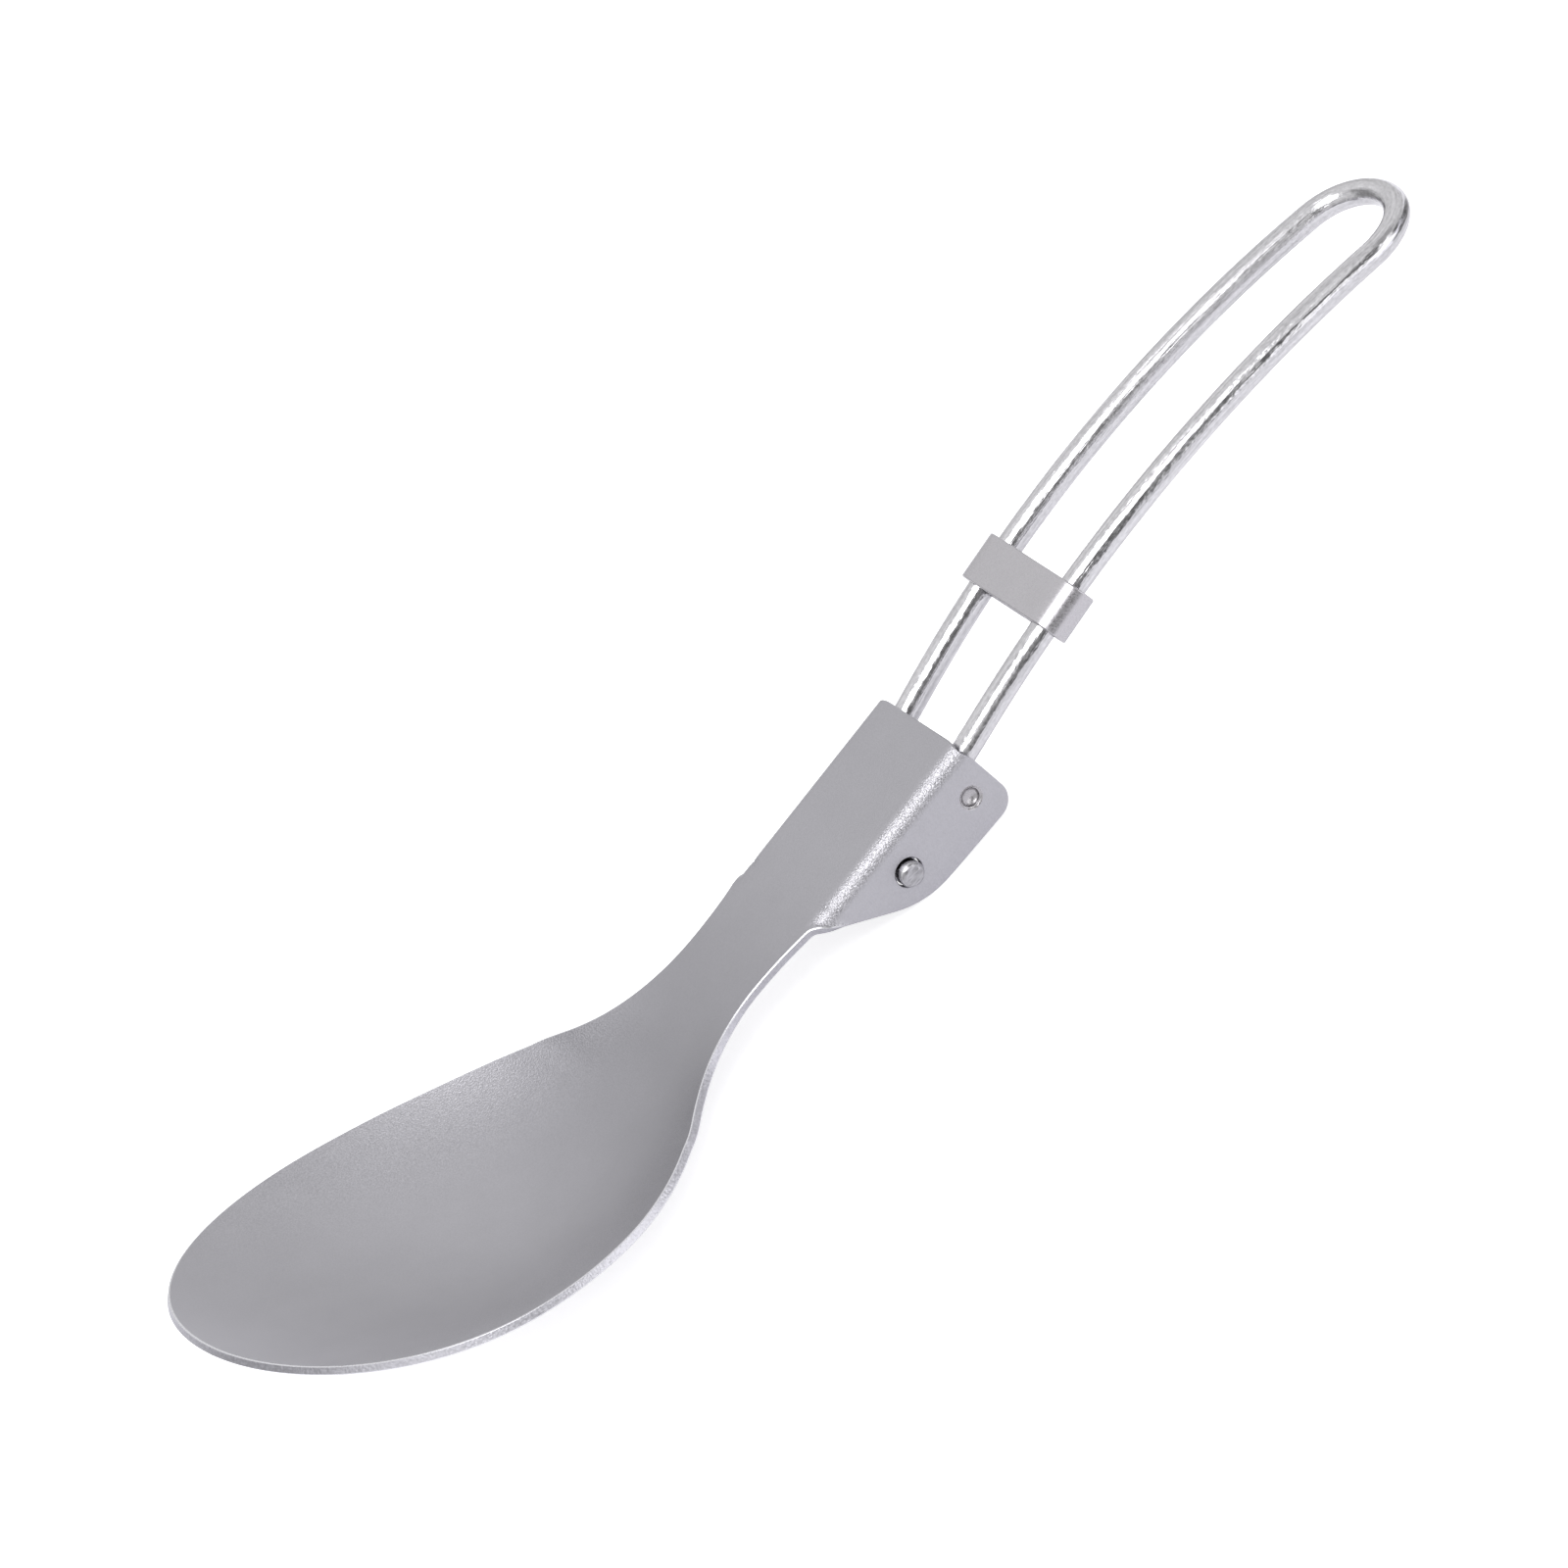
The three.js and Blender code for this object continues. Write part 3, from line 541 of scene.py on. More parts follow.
def blank_border(points, faces):
    """The edges round the blank and its holes, and at each of their points the way out of the sheet."""
    edges = {}
    for face in faces:
        for a, b in zip(face, face[1:] + face[:1]):
            if (b, a) in edges:
                del edges[b, a]
            else:
                edges[a, b] = True
    ways = {}
    for a, b in edges:
        run = Vector(points[b]) - Vector(points[a])
        for v in (a, b):
            ways[v] = ways.get(v, Vector((0, 0))) + Vector((run.y, -run.x)).normalized()
    return list(edges), {v: way.normalized() for v, way in ways.items()}


# The rounded edge in section: the way out and the way down, both as shares of the rounding, and the share of
# the turn from the sheet's face to its wall
EDGE_PROFILE = ((0.3, 0.2, 0.5), (0.8, 0.7, 0.5), (1, 1, 1))
# Width of the band whose points move in to make room for the rounding
DRAWN_IN = 1.5 * MM
# A border point belongs to a hinge hole if it is this close to the hinge axis and this far inside the outline
HOLE_REACH = 2 * MM
HOLE_INSET = 0.5 * MM


def sheet_mesh(s, points, pressed, faces):
    """Both faces of the formed sheet and, along its border, the walls with their rounded edges.

    Returns vertices, normals, faces and the number of border edges. The last faces are the walls, one for
    each border edge, and before them stand the rounded edges. Dimples get no normal of their own.
    """
    edges, ways = blank_border(points, faces)
    tree = kdtree.KDTree(len(ways))
    for v in ways:
        tree.insert((*points[v], 0), v)
    tree.balance()

    def rounding(v):
        x, across = points[v]
        pierced = abs(x) < HOLE_REACH and blank_half_width(s, x) - abs(across) > HOLE_INSET
        return s.hole_round if pierced else s.edge_round

    vertices, normals = [], []
    for under in (False, True):
        for place, radius in zip(points, pressed):
            _, nearest, distance = tree.find((*place, 0))
            inward = max(1 - distance / DRAWN_IN, 0) ** 2 * rounding(nearest)
            x, across = Vector(place) - ways[nearest] * inward
            normal = formed_normal(s, x, across)
            down = s.sheet if under else 0
            if radius is not None:
                down = s.sheet + bump_at(s, radius) if under else dimple_depth(s, radius)
            vertices.append(formed(s, x, across) - normal * down)
            normals.append(Vector() if radius is not None else -normal if under else normal)
    count = len(points)
    rims = {}
    for v, way in ways.items():
        size = rounding(v)
        border = Vector(points[v])
        outward = (formed(s, *border) - formed(s, *(border - way * size))).normalized()
        first = len(vertices)
        for side, profile in ((1, EDGE_PROFILE), (-1, EDGE_PROFILE[::-1])):
            for out, down, turned in profile:
                x, across = border - way * size * (1 - out)
                normal = formed_normal(s, x, across)
                depth = down * size if side > 0 else s.sheet - down * size
                vertices.append(formed(s, x, across) - normal * depth)
                normals.append((side * (1 - turned) * normal + turned * outward).normalized())
        rims[v] = [v, *range(first, len(vertices)), count + v]
    lower = [tuple(count + v for v in reversed(face)) for face in faces]
    rounded, walls = [], []
    for a, b in edges:
        for k in range(len(rims[a]) - 1):
            face = (rims[b][k], rims[a][k], rims[a][k + 1], rims[b][k + 1])
            (walls if k == len(EDGE_PROFILE) else rounded).append(face)
    return vertices, normals, list(faces) + lower + rounded + walls, len(edges)


def new_piece(name, vertices, faces, body, material, replaced, normals=None):
    """A smooth-shaded mesh in the row frame that rides on its body."""
    mesh = bpy.data.meshes.new(name)
    mesh.from_pydata([TO_ROW @ Vector(v) for v in vertices], [], faces)
    mesh.validate()
    mesh.update()
    piece = bpy.data.objects.new(name, mesh)
    bpy.context.scene.collection.objects.link(piece)
    mesh.materials.append(material)
    mesh.polygons.foreach_set("use_smooth", [True] * len(mesh.polygons))
    if normals:
        mesh.normals_split_custom_set_from_vertices([TO_ROW.to_3x3() @ normal for normal in normals])
    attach(piece, body)
    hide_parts(replaced)
    return piece


def empty_tree(block):
    """The node tree of a new material or world, with nothing in it."""
    block.use_nodes = True
    block.node_tree.nodes.clear()
    return block.node_tree


def within(tree, values, *edges, start=None):
    """A soft mask, 1 past every edge: an edge names a value, where it is still 0 and where it is 1."""
    mask = start
    for key, low, high in edges:
        settings = {"interpolation_type": "SMOOTHSTEP", "From Min": low, "From Max": high}
        step = add(tree, "ShaderNodeMapRange", settings, {"Value": values[key]})
        if mask is not None:
            step = add(tree, "ShaderNodeMath", {"operation": "MULTIPLY"}, {0: mask, 1: step.outputs[0]})
        mask = step.outputs[0]
    return mask


# The values between which nearly all of a noise lies, and the clouds that handling leaves on every finish
NOISE_LOW, NOISE_HIGH = 0.3, 0.7
CLOUD_SIZE = 5 * MM
CLOUD_DEPTH = 0.015
GLOSS_SPREAD = 0.05
# The size of the painted glints that break up the highlight on a bend, as a share of the grain
GLINT_SHARE = 0.8
# The share of a normal across the spoon, where a bend of the sheet starts and where it is a flange again
BEND_FROM_PLATE = (0.12, 0.4)
BEND_TO_FLANGE = (0.99, 0.9)


def metal_material(name, colour, grain, bump, roughness, mottle, stretch=(1, 1, 1), second=None,
                   steps=((0, 1),), calm=(0, 1, 1), glint_speckle=0.0, flat_share=1.0):
    """A metal whose grain, tone and gloss vary at the given sizes.

    Between steps along X it has a second colour, and from the start to the end of calm its grain falls to a
    share. Glint speckle is painted sparkle: tone that changes from pit to pit in the bends, where the
    highlight falls. On flat faces the pits keep a share.
    """
    material = bpy.data.materials.new(name)
    tree = empty_tree(material)
    place = add(tree, "ShaderNodeTexCoord").outputs["Object"]
    axes = add(tree, "ShaderNodeSeparateXYZ", None, {0: place}).outputs
    stretched = add(tree, "ShaderNodeVectorMath", {"operation": "MULTIPLY", 1: stretch}, {0: place})
    noises = ((grain, 1.0, stretched.outputs[0]), (CLOUD_SIZE, 2.0, place),
              (GLINT_SHARE * grain, 1.0, place))
    fine, broad, glint_noise = (
        add(tree, "ShaderNodeTexNoise", {"Scale": 1 / size, "Detail": detail}, {"Vector": at}).outputs["Fac"]
        for size, detail, at in noises)
    spreads = ((fine, 1, mottle), (broad, 1, CLOUD_DEPTH), (glint_noise, 0, glint_speckle),
               (fine, roughness, GLOSS_SPREAD))
    tones, clouds, painted_glints, gloss = (
        add(tree, "ShaderNodeMapRange",
            {"From Min": NOISE_LOW, "From Max": NOISE_HIGH, "To Min": middle - half, "To Max": middle + half},
            {"Value": value}).outputs[0]
        for value, middle, half in spreads)

    normal = add(tree, "ShaderNodeNewGeometry").outputs["Normal"]
    facing = add(tree, "ShaderNodeSeparateXYZ", None, {0: normal}).outputs["Y"]
    sideways = add(tree, "ShaderNodeMath", {"operation": "ABSOLUTE"}, {0: facing}).outputs[0]
    bent = within(tree, (sideways,), (0, *BEND_FROM_PLATE), (0, *BEND_TO_FLANGE))
    rest = within(tree, axes, ("X", *calm[:2]))
    calmed, kept = (
        add(tree, "ShaderNodeMath", {"operation": "MULTIPLY_ADD", 1: end - start, 2: start},
            {0: mask}).outputs[0]
        for mask, start, end in ((rest, 1.0, calm[2]), (bent, flat_share, 1.0)))

    # Painted glints: random tone, only in the bends, where the highlight falls.
    painted_glints = add(tree, "ShaderNodeMath", {"operation": "MULTIPLY"}, {0: painted_glints, 1: bent}).outputs[0]
    glint_tone = add(tree, "ShaderNodeMath", {"operation": "MULTIPLY_ADD", 2: 1.0}, {0: painted_glints, 1: calmed})
    shade, height = clouds, fine
    for value in (tones, glint_tone.outputs[0]):
        shade = add(tree, "ShaderNodeMath", {"operation": "MULTIPLY"}, {0: shade, 1: value}).outputs[0]
    for value in (calmed, kept):
        height = add(tree, "ShaderNodeMath", {"operation": "MULTIPLY"}, {0: height, 1: value}).outputs[0]

    tint = add(tree, "ShaderNodeMix", {"data_type": "RGBA", 6: linear(colour), 7: linear(second or colour)},
               {0: within(tree, axes, *(("X", *step) for step in steps))})
    base = add(tree, "ShaderNodeVectorMath", {"operation": "SCALE"}, {0: tint.outputs[2], "Scale": shade})
    relief = add(tree, "ShaderNodeBump", {"Strength": 1.0, "Distance": bump}, {"Height": height})
    shader = add(tree, "ShaderNodeBsdfPrincipled", {"Metallic": 1.0},
                 {"Base Color": base.outputs[0], "Roughness": gloss, "Normal": relief.outputs[0]})
    add(tree, "ShaderNodeOutputMaterial", None, {"Surface": shader.outputs[0]})
    return material


def head_materials(s):
    """The finishes of the head, in the order of its material slots."""
    return (
        # Titanium sheet, bead-blasted: small round pits scatter the light, so it is an even, soft grey with
        # no streaks, with painted glints in its bends where the highlight falls, and darker over the neck and
        # shoulder. Real pits are about 0.05 mm and are drawn at 0.2 mm, because finer ones don't show.
        metal_material("bead_blasted_titanium", s.colour, grain=0.2 * MM, bump=0.08 * MM, roughness=0.43,
                       mottle=0.05, second=s.neck_colour, steps=((-4 * MM, -26 * MM), (-60 * MM, -38 * MM)),
                       calm=(-12 * MM, -24 * MM, 0.45), glint_speckle=0.3, flat_share=0.4),
        # The corners of the same sheet, tumbled smooth: a thin bright line along every edge, painted paler
        # round the neck and bowl as a highlight.
        metal_material("tumbled_edge_highlight", s.colour, grain=0.25 * MM, bump=0.005 * MM, roughness=0.28,
                       mottle=0.03, second=s.edge_highlight_colour, steps=((-8 * MM, -12 * MM),)),
        # Titanium torn by the shears and then tumbled: dull and uneven, painted lighter round the bowl where
        # its wall catches more light. The tears are about 0.1 mm and are drawn at 0.28 mm so that they show.
        metal_material("sheared_edge", s.wall_colour, grain=0.28 * MM, bump=0.05 * MM, roughness=0.38,
                       mottle=0.1, second=s.rim_light_colour, steps=((-15 * MM, -40 * MM),)),
        # Titanium rubbed by a round punch: smoother than the blasted sheet, so it holds small clear lights.
        # Its colour is a touch darker than the sheet, as painted shade in the hollow.
        metal_material("burnished_dimple", s.dimple_shade_colour, grain=0.3 * MM, bump=0.03 * MM, roughness=0.28,
                       mottle=0.05),
        # Titanium torn by the piercing punch and never blasted, painted dark as the shade in the hole round
        # each pin. Its lines run through the sheet.
        metal_material("pierced_hole_shade", s.hole_shade_colour, grain=0.2 * MM, bump=0.05 * MM, roughness=0.5,
                       mottle=0.1, stretch=(1, 0.3, 1)),
    )


class SPOON_OT_head(bpy.types.Operator):
    """Forms the bowl, neck and channel from one sheet"""

    bl_idname = "spoon.head"
    bl_label = "Stamped head"

    def execute(self, context):
        s = context.scene.spoon_head
        blasted, *others = head_materials(s)
        tumbled, sheared, burnished, pierced = range(1, 5)
        points, pressed, flat_faces = head_blank(s, context.scene.spoon_wire.radius + s.hole_clearance)
        vertices, normals, faces, border = sheet_mesh(s, points, pressed, flat_faces)
        piece = new_piece("head_stamping", vertices, faces, "head", blasted, "spoon_head",
                          normals)
        for material in others:
            piece.data.materials.append(material)
        polygons = piece.data.polygons
        for polygon in polygons[2 * len(flat_faces):]:
            polygon.material_index = tumbled
        for polygon in polygons[-border:]:
            x, _, z = vertices[polygon.vertices[0]]
            polygon.material_index = pierced if math.hypot(x, z) < HOLE_REACH else sheared
        for polygon, face in zip(polygons, flat_faces):
            if all(pressed[v] is not None for v in face):
                polygon.material_index = burnished
        return {"FINISHED"}


# The wire

# Fineness of the wire, and the rounding and the cropping ridges of its ends
PIN_STEPS = 10
BEND_STEPS = 24
LEG_STEPS = 160
LOOP_STEPS = 48
WIRE_SIDES = 48
FACE_RINGS = 10
ROUND_RINGS = 6
ROUND_TURN = math.radians(70)
RIDGE_HEIGHT = 0.14 * MM
RIDGE_LENGTH = 2 * MM
RIDGE_SPACING = MM / 2.6
# The least distance between the rounding of a pin and the first ring of its shaft
SHAFT_GAP = 0.05 * MM


def arch(s, distance):
    """Where a distance along the legs lies in side view, and the heading there."""
    if distance <= s.arch_start:
        return distance * math.cos(s.arch_rise), distance * math.sin(s.arch_rise), s.arch_rise
    heading = s.arch_rise - (distance - s.arch_start) / s.arch_radius
    x = s.arch_start * math.cos(s.arch_rise) + s.arch_radius * (math.sin(s.arch_rise) - math.sin(heading))
    z = s.arch_start * math.sin(s.arch_rise) + s.arch_radius * (math.cos(heading) - math.cos(s.arch_rise))
    return x, z, heading


def half_path(s, pin_end):
    """Flat centre line of half the wire: pin, bend, bowed leg and half the end loop."""
    bow = Vector((s.leg_widest_to_hinge, s.leg_half_spacing - s.leg_bow_radius))
    reach = s.leg_bow_radius + s.pin_bend_radius
    bend = Vector((s.pin_bend_radius, 0))
    bend.y = bow.y + math.sqrt(reach ** 2 - (bow.x - bend.x) ** 2)
    loop = Vector((s.loop_centre_to_hinge, 0))
    loop_radius = s.leg_bow_radius - (loop - bow).length
    to_leg = bow - bend
    bend_angle = math.atan2(to_leg.y, to_leg.x) % (2 * math.pi)
    leg_start = math.atan2(-to_leg.y, -to_leg.x)
    leg_end = math.atan2(loop.y - bow.y, loop.x - bow.x)

    def arc(centre, radius, start, end, steps):
        angles = [mix(start, end, k / steps) for k in range(1, steps + 1)]
        return [centre + radius * Vector((math.cos(angle), math.sin(angle))) for angle in angles]

    points = [Vector((0, mix(pin_end, bend.y, k / PIN_STEPS))) for k in range(PIN_STEPS + 1)]
    points += arc(bend, s.pin_bend_radius, math.pi, bend_angle, BEND_STEPS)
    points += arc(bow, s.leg_bow_radius, leg_start, leg_end, LEG_STEPS)
    points += arc(loop, loop_radius, leg_end, 0, LOOP_STEPS)
    return points


def wire_mesh(s, head):
    """A tube along the whole wire, with rounded pin ends and the ridges that cropping shears leave on them.

    Returns vertices, faces, each vertex's place along and round the wire, and the faces of the pin ends.
    """
    pin_end = head.channel_width / 2 + s.pin_proud
    half = half_path(s, pin_end)
    flat = half + [Vector((p.x, -p.y)) for p in reversed(half[:-1])]
    centres, ups = [], []
    for p in flat:
        x, z, heading = arch(s, p.x)
        centres.append(Vector((x, p.y, z)))
        ups.append(Vector((-math.sin(heading), 0, math.cos(heading))))
    last = len(centres) - 1
    runs = [0.0]
    for a, b in zip(centres, centres[1:]):
        runs.append(runs[-1] + (b - a).length)
    vertices, marks = [], []

    def ring(centre, tangent, up, radius, run, ridge=0.0):
        across = tangent.cross(up).normalized()
        up = across.cross(tangent).normalized()
        start = len(vertices)
        for k in range(WIRE_SIDES):
            angle = 2 * math.pi * k / WIRE_SIDES
            point = centre + (up * math.cos(angle) + across * math.sin(angle)) * radius
            if ridge:
                place = Vector((point.x / RIDGE_LENGTH, 0, point.z / RIDGE_SPACING))
                point += tangent * ridge * noise.noise(place)
            vertices.append(point)
            marks.append((run, math.cos(angle) * s.radius, math.sin(angle) * s.radius))
        return start

    face_radius = s.radius - s.pin_chamfer
    caps = []
    for end, inward in ((0, 1), (last, -1)):
        tangent = (centres[end + inward] - centres[end]).normalized() * inward
        cap = [ring(centres[end], tangent, ups[end], face_radius * k / FACE_RINGS, runs[end], RIDGE_HEIGHT)
               for k in range(1, FACE_RINGS)]
        for k in range(ROUND_RINGS + 1):
            turned = ROUND_TURN * (1 - k / ROUND_RINGS)
            widened = (math.cos(turned) - math.cos(ROUND_TURN)) / (1 - math.cos(ROUND_TURN))
            back = inward * s.pin_rounding * (1 - math.sin(turned) / math.sin(ROUND_TURN))
            cap.append(ring(centres[end] + tangent * back, tangent, ups[end],
                            face_radius + s.pin_chamfer * widened, runs[end] + back))
        caps.append(cap)
    body = []
    for k in range(1, last):
        tangent = (centres[k + 1] - centres[k - 1]).normalized()
        if abs(centres[k].y) < pin_end - s.pin_rounding - SHAFT_GAP:
            body.append(ring(centres[k], tangent, ups[k], s.radius, runs[k]))
    order = caps[0] + body + caps[1][::-1]
    faces = []
    for a, b in zip(order, order[1:]):
        for k in range(WIRE_SIDES):
            n = (k + 1) % WIRE_SIDES
            faces.append((a + n, b + n, b + k, a + k))
    for start, centre, near in ((order[0], centres[0], True), (order[-1], centres[-1], False)):
        middle = len(vertices)
        vertices.append(centre)
        marks.append((0, 0, 0))
        for k in range(WIRE_SIDES):
            n = (k + 1) % WIRE_SIDES
            faces.append((start + k, middle, start + n) if near else (start + n, middle, start + k))
    near_end = 0.5 * s.pin_rounding
    ends = [k for k, face in enumerate(faces)
            if all(marks[v][0] < near_end or marks[v][0] > runs[-1] - near_end for v in face)]
    return vertices, faces, marks, ends


def wire_material(colour):
    """Titanium wire, drawn through a die, bent cold and tumbled bright.

    The die gives long soft lines, tumbling a fine grain, and bending waves and nicks that tear the edges of
    every reflection. The middle of the far leg is scuffed along its length, so its shine is broad and lined.
    Die lines and grain are under 0.1 mm on the real wire and are drawn coarser so that they show.
    """
    material = bpy.data.materials.new("drawn_titanium_wire")
    tree = empty_tree(material)
    place = add(tree, "ShaderNodeAttribute", {"attribute_name": "wire_place"}).outputs["Vector"]
    run = add(tree, "ShaderNodeSeparateXYZ", None, {0: place}).outputs

    def pattern(size, along, detail):
        stretched = add(tree, "ShaderNodeVectorMath", {"operation": "MULTIPLY", 1: (along, 1, 1)}, {0: place})
        return add(tree, "ShaderNodeTexNoise", {"Scale": 1 / size, "Detail": detail, "Roughness": 0.55},
                   {"Vector": stretched.outputs[0]}).outputs["Fac"]

    die = pattern(0.4 * MM, along=0.03, detail=2.0)
    grain = pattern(0.3 * MM, along=0.5, detail=1.0)
    waves = pattern(0.9 * MM, along=0.45, detail=2.0)
    scratches = pattern(0.2 * MM, along=0.06, detail=1.0)
    worn = within(tree, (pattern(9 * MM, along=1, detail=1.0),), (0, 0.40, 0.62))
    scuffed = within(tree, run, ("X", 38 * MM, 72 * MM), ("X", 93 * MM, 82 * MM))

    ranges = ((grain, 0.3, 0.90, 1.10), (die, 0.35, 0.84, 1.08), (grain, 0.3, 0.12, 0.22))
    tones, lines, gloss = (
        add(tree, "ShaderNodeMapRange",
            {"From Min": low, "From Max": 1 - low, "To Min": least, "To Max": most},
            {"Value": value}).outputs[0]
        for value, low, least, most in ranges)
    shade = add(tree, "ShaderNodeMath", {"operation": "MULTIPLY"}, {0: tones, 1: lines}).outputs[0]
    dull = add(tree, "ShaderNodeMath", {"operation": "MULTIPLY_ADD", 1: 0.16}, {0: scuffed, 2: gloss})
    base = add(tree, "ShaderNodeVectorMath", {"operation": "SCALE", 0: linear(colour)[:3]}, {"Scale": shade})
    heights = []
    for height, mask, gain, least in ((waves, worn, 0.8, 0.3), (scratches, scuffed, 0.75, 0.25)):
        reach = add(tree, "ShaderNodeMath", {"operation": "MULTIPLY_ADD", 1: gain, 2: least}, {0: mask})
        both = add(tree, "ShaderNodeMath", {"operation": "MULTIPLY"}, {0: height, 1: reach.outputs[0]})
        heights.append(both.outputs[0])
    wavy, lined = heights
    normal = {}
    for height, depth in ((wavy, 0.07 * MM), (die, 0.045 * MM), (lined, 0.05 * MM), (grain, 0.02 * MM)):
        relief = add(tree, "ShaderNodeBump", {"Strength": 1.0, "Distance": depth},
                     {"Height": height, **normal})
        normal = {"Normal": relief.outputs[0]}
    shader = add(tree, "ShaderNodeBsdfPrincipled", {"Metallic": 1.0},
                 {"Base Color": base.outputs[0], "Roughness": dull.outputs[0], **normal})
    add(tree, "ShaderNodeOutputMaterial", None, {"Surface": shader.outputs[0]})
    return material


class SPOON_OT_wire(bpy.types.Operator):
    """Bends the handle from one length of wire"""

    bl_idname = "spoon.wire"
    bl_label = "Wire handle"

    def execute(self, context):
        s = context.scene.spoon_wire
        vertices, faces, marks, ends = wire_mesh(s, context.scene.spoon_head)
        piece = new_piece("handle_wire", vertices, faces, "handle", wire_material(s.colour),
                          "wire_handle")
        # Titanium wire cropped by shears: torn in ridges that run along the handle, dull with bright flecks.
        sheared = metal_material("sheared_wire_end", s.end_colour, grain=0.3 * MM, bump=0.12 * MM,
                                 roughness=0.32, mottle=0.25, stretch=(0.2, 0.2, 1))
        piece.data.materials.append(sheared)
        for k in ends:
            piece.data.polygons[k].material_index = 1
        place = piece.data.attributes.new("wire_place", "FLOAT_VECTOR", "POINT")
        place.data.foreach_set("vector", [value for mark in marks for value in mark])
        return {"FINISHED"}


# The collar

# Fineness of the strip: round each leg, over the top, under each leg and along the handle
ROUND_STEPS = 20
TOP_STEPS = 16
SEAM_STEPS = 8
WIDTH_STEPS = 8


def collar_section(s, wire):
    """Outer and inner outline of the strip as seen along the legs, from one end of the seam to the other."""
    inner = wire.radius + s.clearance
    side, seam = wire.leg_half_spacing, s.seam / 2
    near = side + s.slack
    turns = [k / ROUND_STEPS * math.pi for k in range(ROUND_STEPS + 1)]

    def walk(radius):
        points = [(mix(seam, side, k / SEAM_STEPS), -radius) for k in range(SEAM_STEPS)]
        points += [(side + radius * math.sin(angle), -radius * math.cos(angle)) for angle in turns]
        points += [(mix(side, -near, k / TOP_STEPS), radius) for k in range(1, TOP_STEPS)]
        points += [(-near - radius * math.sin(angle), radius * math.cos(angle)) for angle in turns]
        points += [(mix(-near, -seam, k / SEAM_STEPS), -radius) for k in range(1, SEAM_STEPS + 1)]
        return points

    return walk(inner + s.sheet), walk(inner)


def round_edges(piece, radius):
    """Rounds the sharp edges of a piece as real geometry."""
    bevel = piece.modifiers.new("edges", "BEVEL")
    bevel.width = radius
    bevel.segments = 3
    bevel.limit_method = "ANGLE"
    bevel.angle_limit = math.radians(50)
    bevel.use_clamp_overlap = True
    bevel.harden_normals = True
    graph = bpy.context.evaluated_depsgraph_get()
    mesh = bpy.data.meshes.new_from_object(piece.evaluated_get(graph))
    piece.modifiers.clear()
    piece.data = mesh


class SPOON_OT_collar(bpy.types.Operator):
    """Closes the strip collar round both legs"""

    bl_idname = "spoon.collar"
    bl_label = "Strip collar"

    def execute(self, context):
        s, wire = context.scene.spoon_collar, context.scene.spoon_wire
        outer, inner = collar_section(s, wire)
        x, z, heading = arch(wire, s.to_hinge)
        seat = Matrix.Translation((x, 0, z - s.sag)) @ Matrix.Rotation(-heading, 4, "Y")
        count = len(outer)
        ring = 2 * count
        vertices = []
        for i in range(WIDTH_STEPS + 1):
            along = s.width * (i / WIDTH_STEPS - 0.5)
            vertices += [seat @ Vector((along, y, h)) for y, h in outer + inner]
        faces = []
        for a in range(0, WIDTH_STEPS * ring, ring):
            b = a + ring
            for k in range(count - 1):
                faces.append((b + k, b + k + 1, a + k + 1, a + k))
                faces.append((a + count + k + 1, b + count + k + 1, b + count + k, a + count + k))
            faces.append((a + count, b + count, b, a))
            faces.append((b + count - 1, b + ring - 1, a + ring - 1, a + count - 1))
        last = WIDTH_STEPS * ring
        for k in range(count - 1):
            faces.append((k + 1, count + k + 1, count + k, k))
            faces.append((last + count + k, last + count + k + 1, last + k + 1, last + k))
        # Titanium strip, rolled and satin-finished: an even, soft shine with a faint lengthwise grain. The
        # rolling lines are under 0.1 mm and are drawn at 0.22 mm so that they show.
        strip = metal_material("satin_titanium_strip", s.colour, grain=0.22 * MM, bump=0.006 * MM,
                               roughness=0.3, mottle=0.04, stretch=(1, 0.5, 1))
        piece = new_piece("collar_strip", vertices, faces, "collar", strip, "lock_collar")
        round_edges(piece, s.edge_round)
        return {"FINISHED"}


# The studio

# The camera's right and up in the plate frame, as fitted to the photograph, and the width of its sensor
CAMERA_RIGHT = Vector((0.61934, -0.46672, -0.63134))
CAMERA_UP = Vector((0.78281, 0.30541, 0.54215))
SENSOR_WIDTH = 36.0


def set_camera(s, scene):
    """A long lens far away that looks at the spoon as the photograph does."""
    data = bpy.data.cameras.new("camera")
    data.sensor_width = SENSOR_WIDTH
    data.lens = SENSOR_WIDTH * s.distance / s.frame_width
    data.clip_start, data.clip_end = 0.5, 50.0
    camera = bpy.data.objects.new("camera", data)
    scene.collection.objects.link(camera)
    toward = CAMERA_RIGHT.cross(CAMERA_UP)
    place = CAMERA_RIGHT * s.aim_right + CAMERA_UP * s.aim_up + toward * s.distance
    turned = Matrix((CAMERA_RIGHT, CAMERA_UP, toward)).transposed().to_4x4()
    camera.matrix_world = TO_ROW @ Matrix.Translation(place) @ turned
    scene.camera = camera


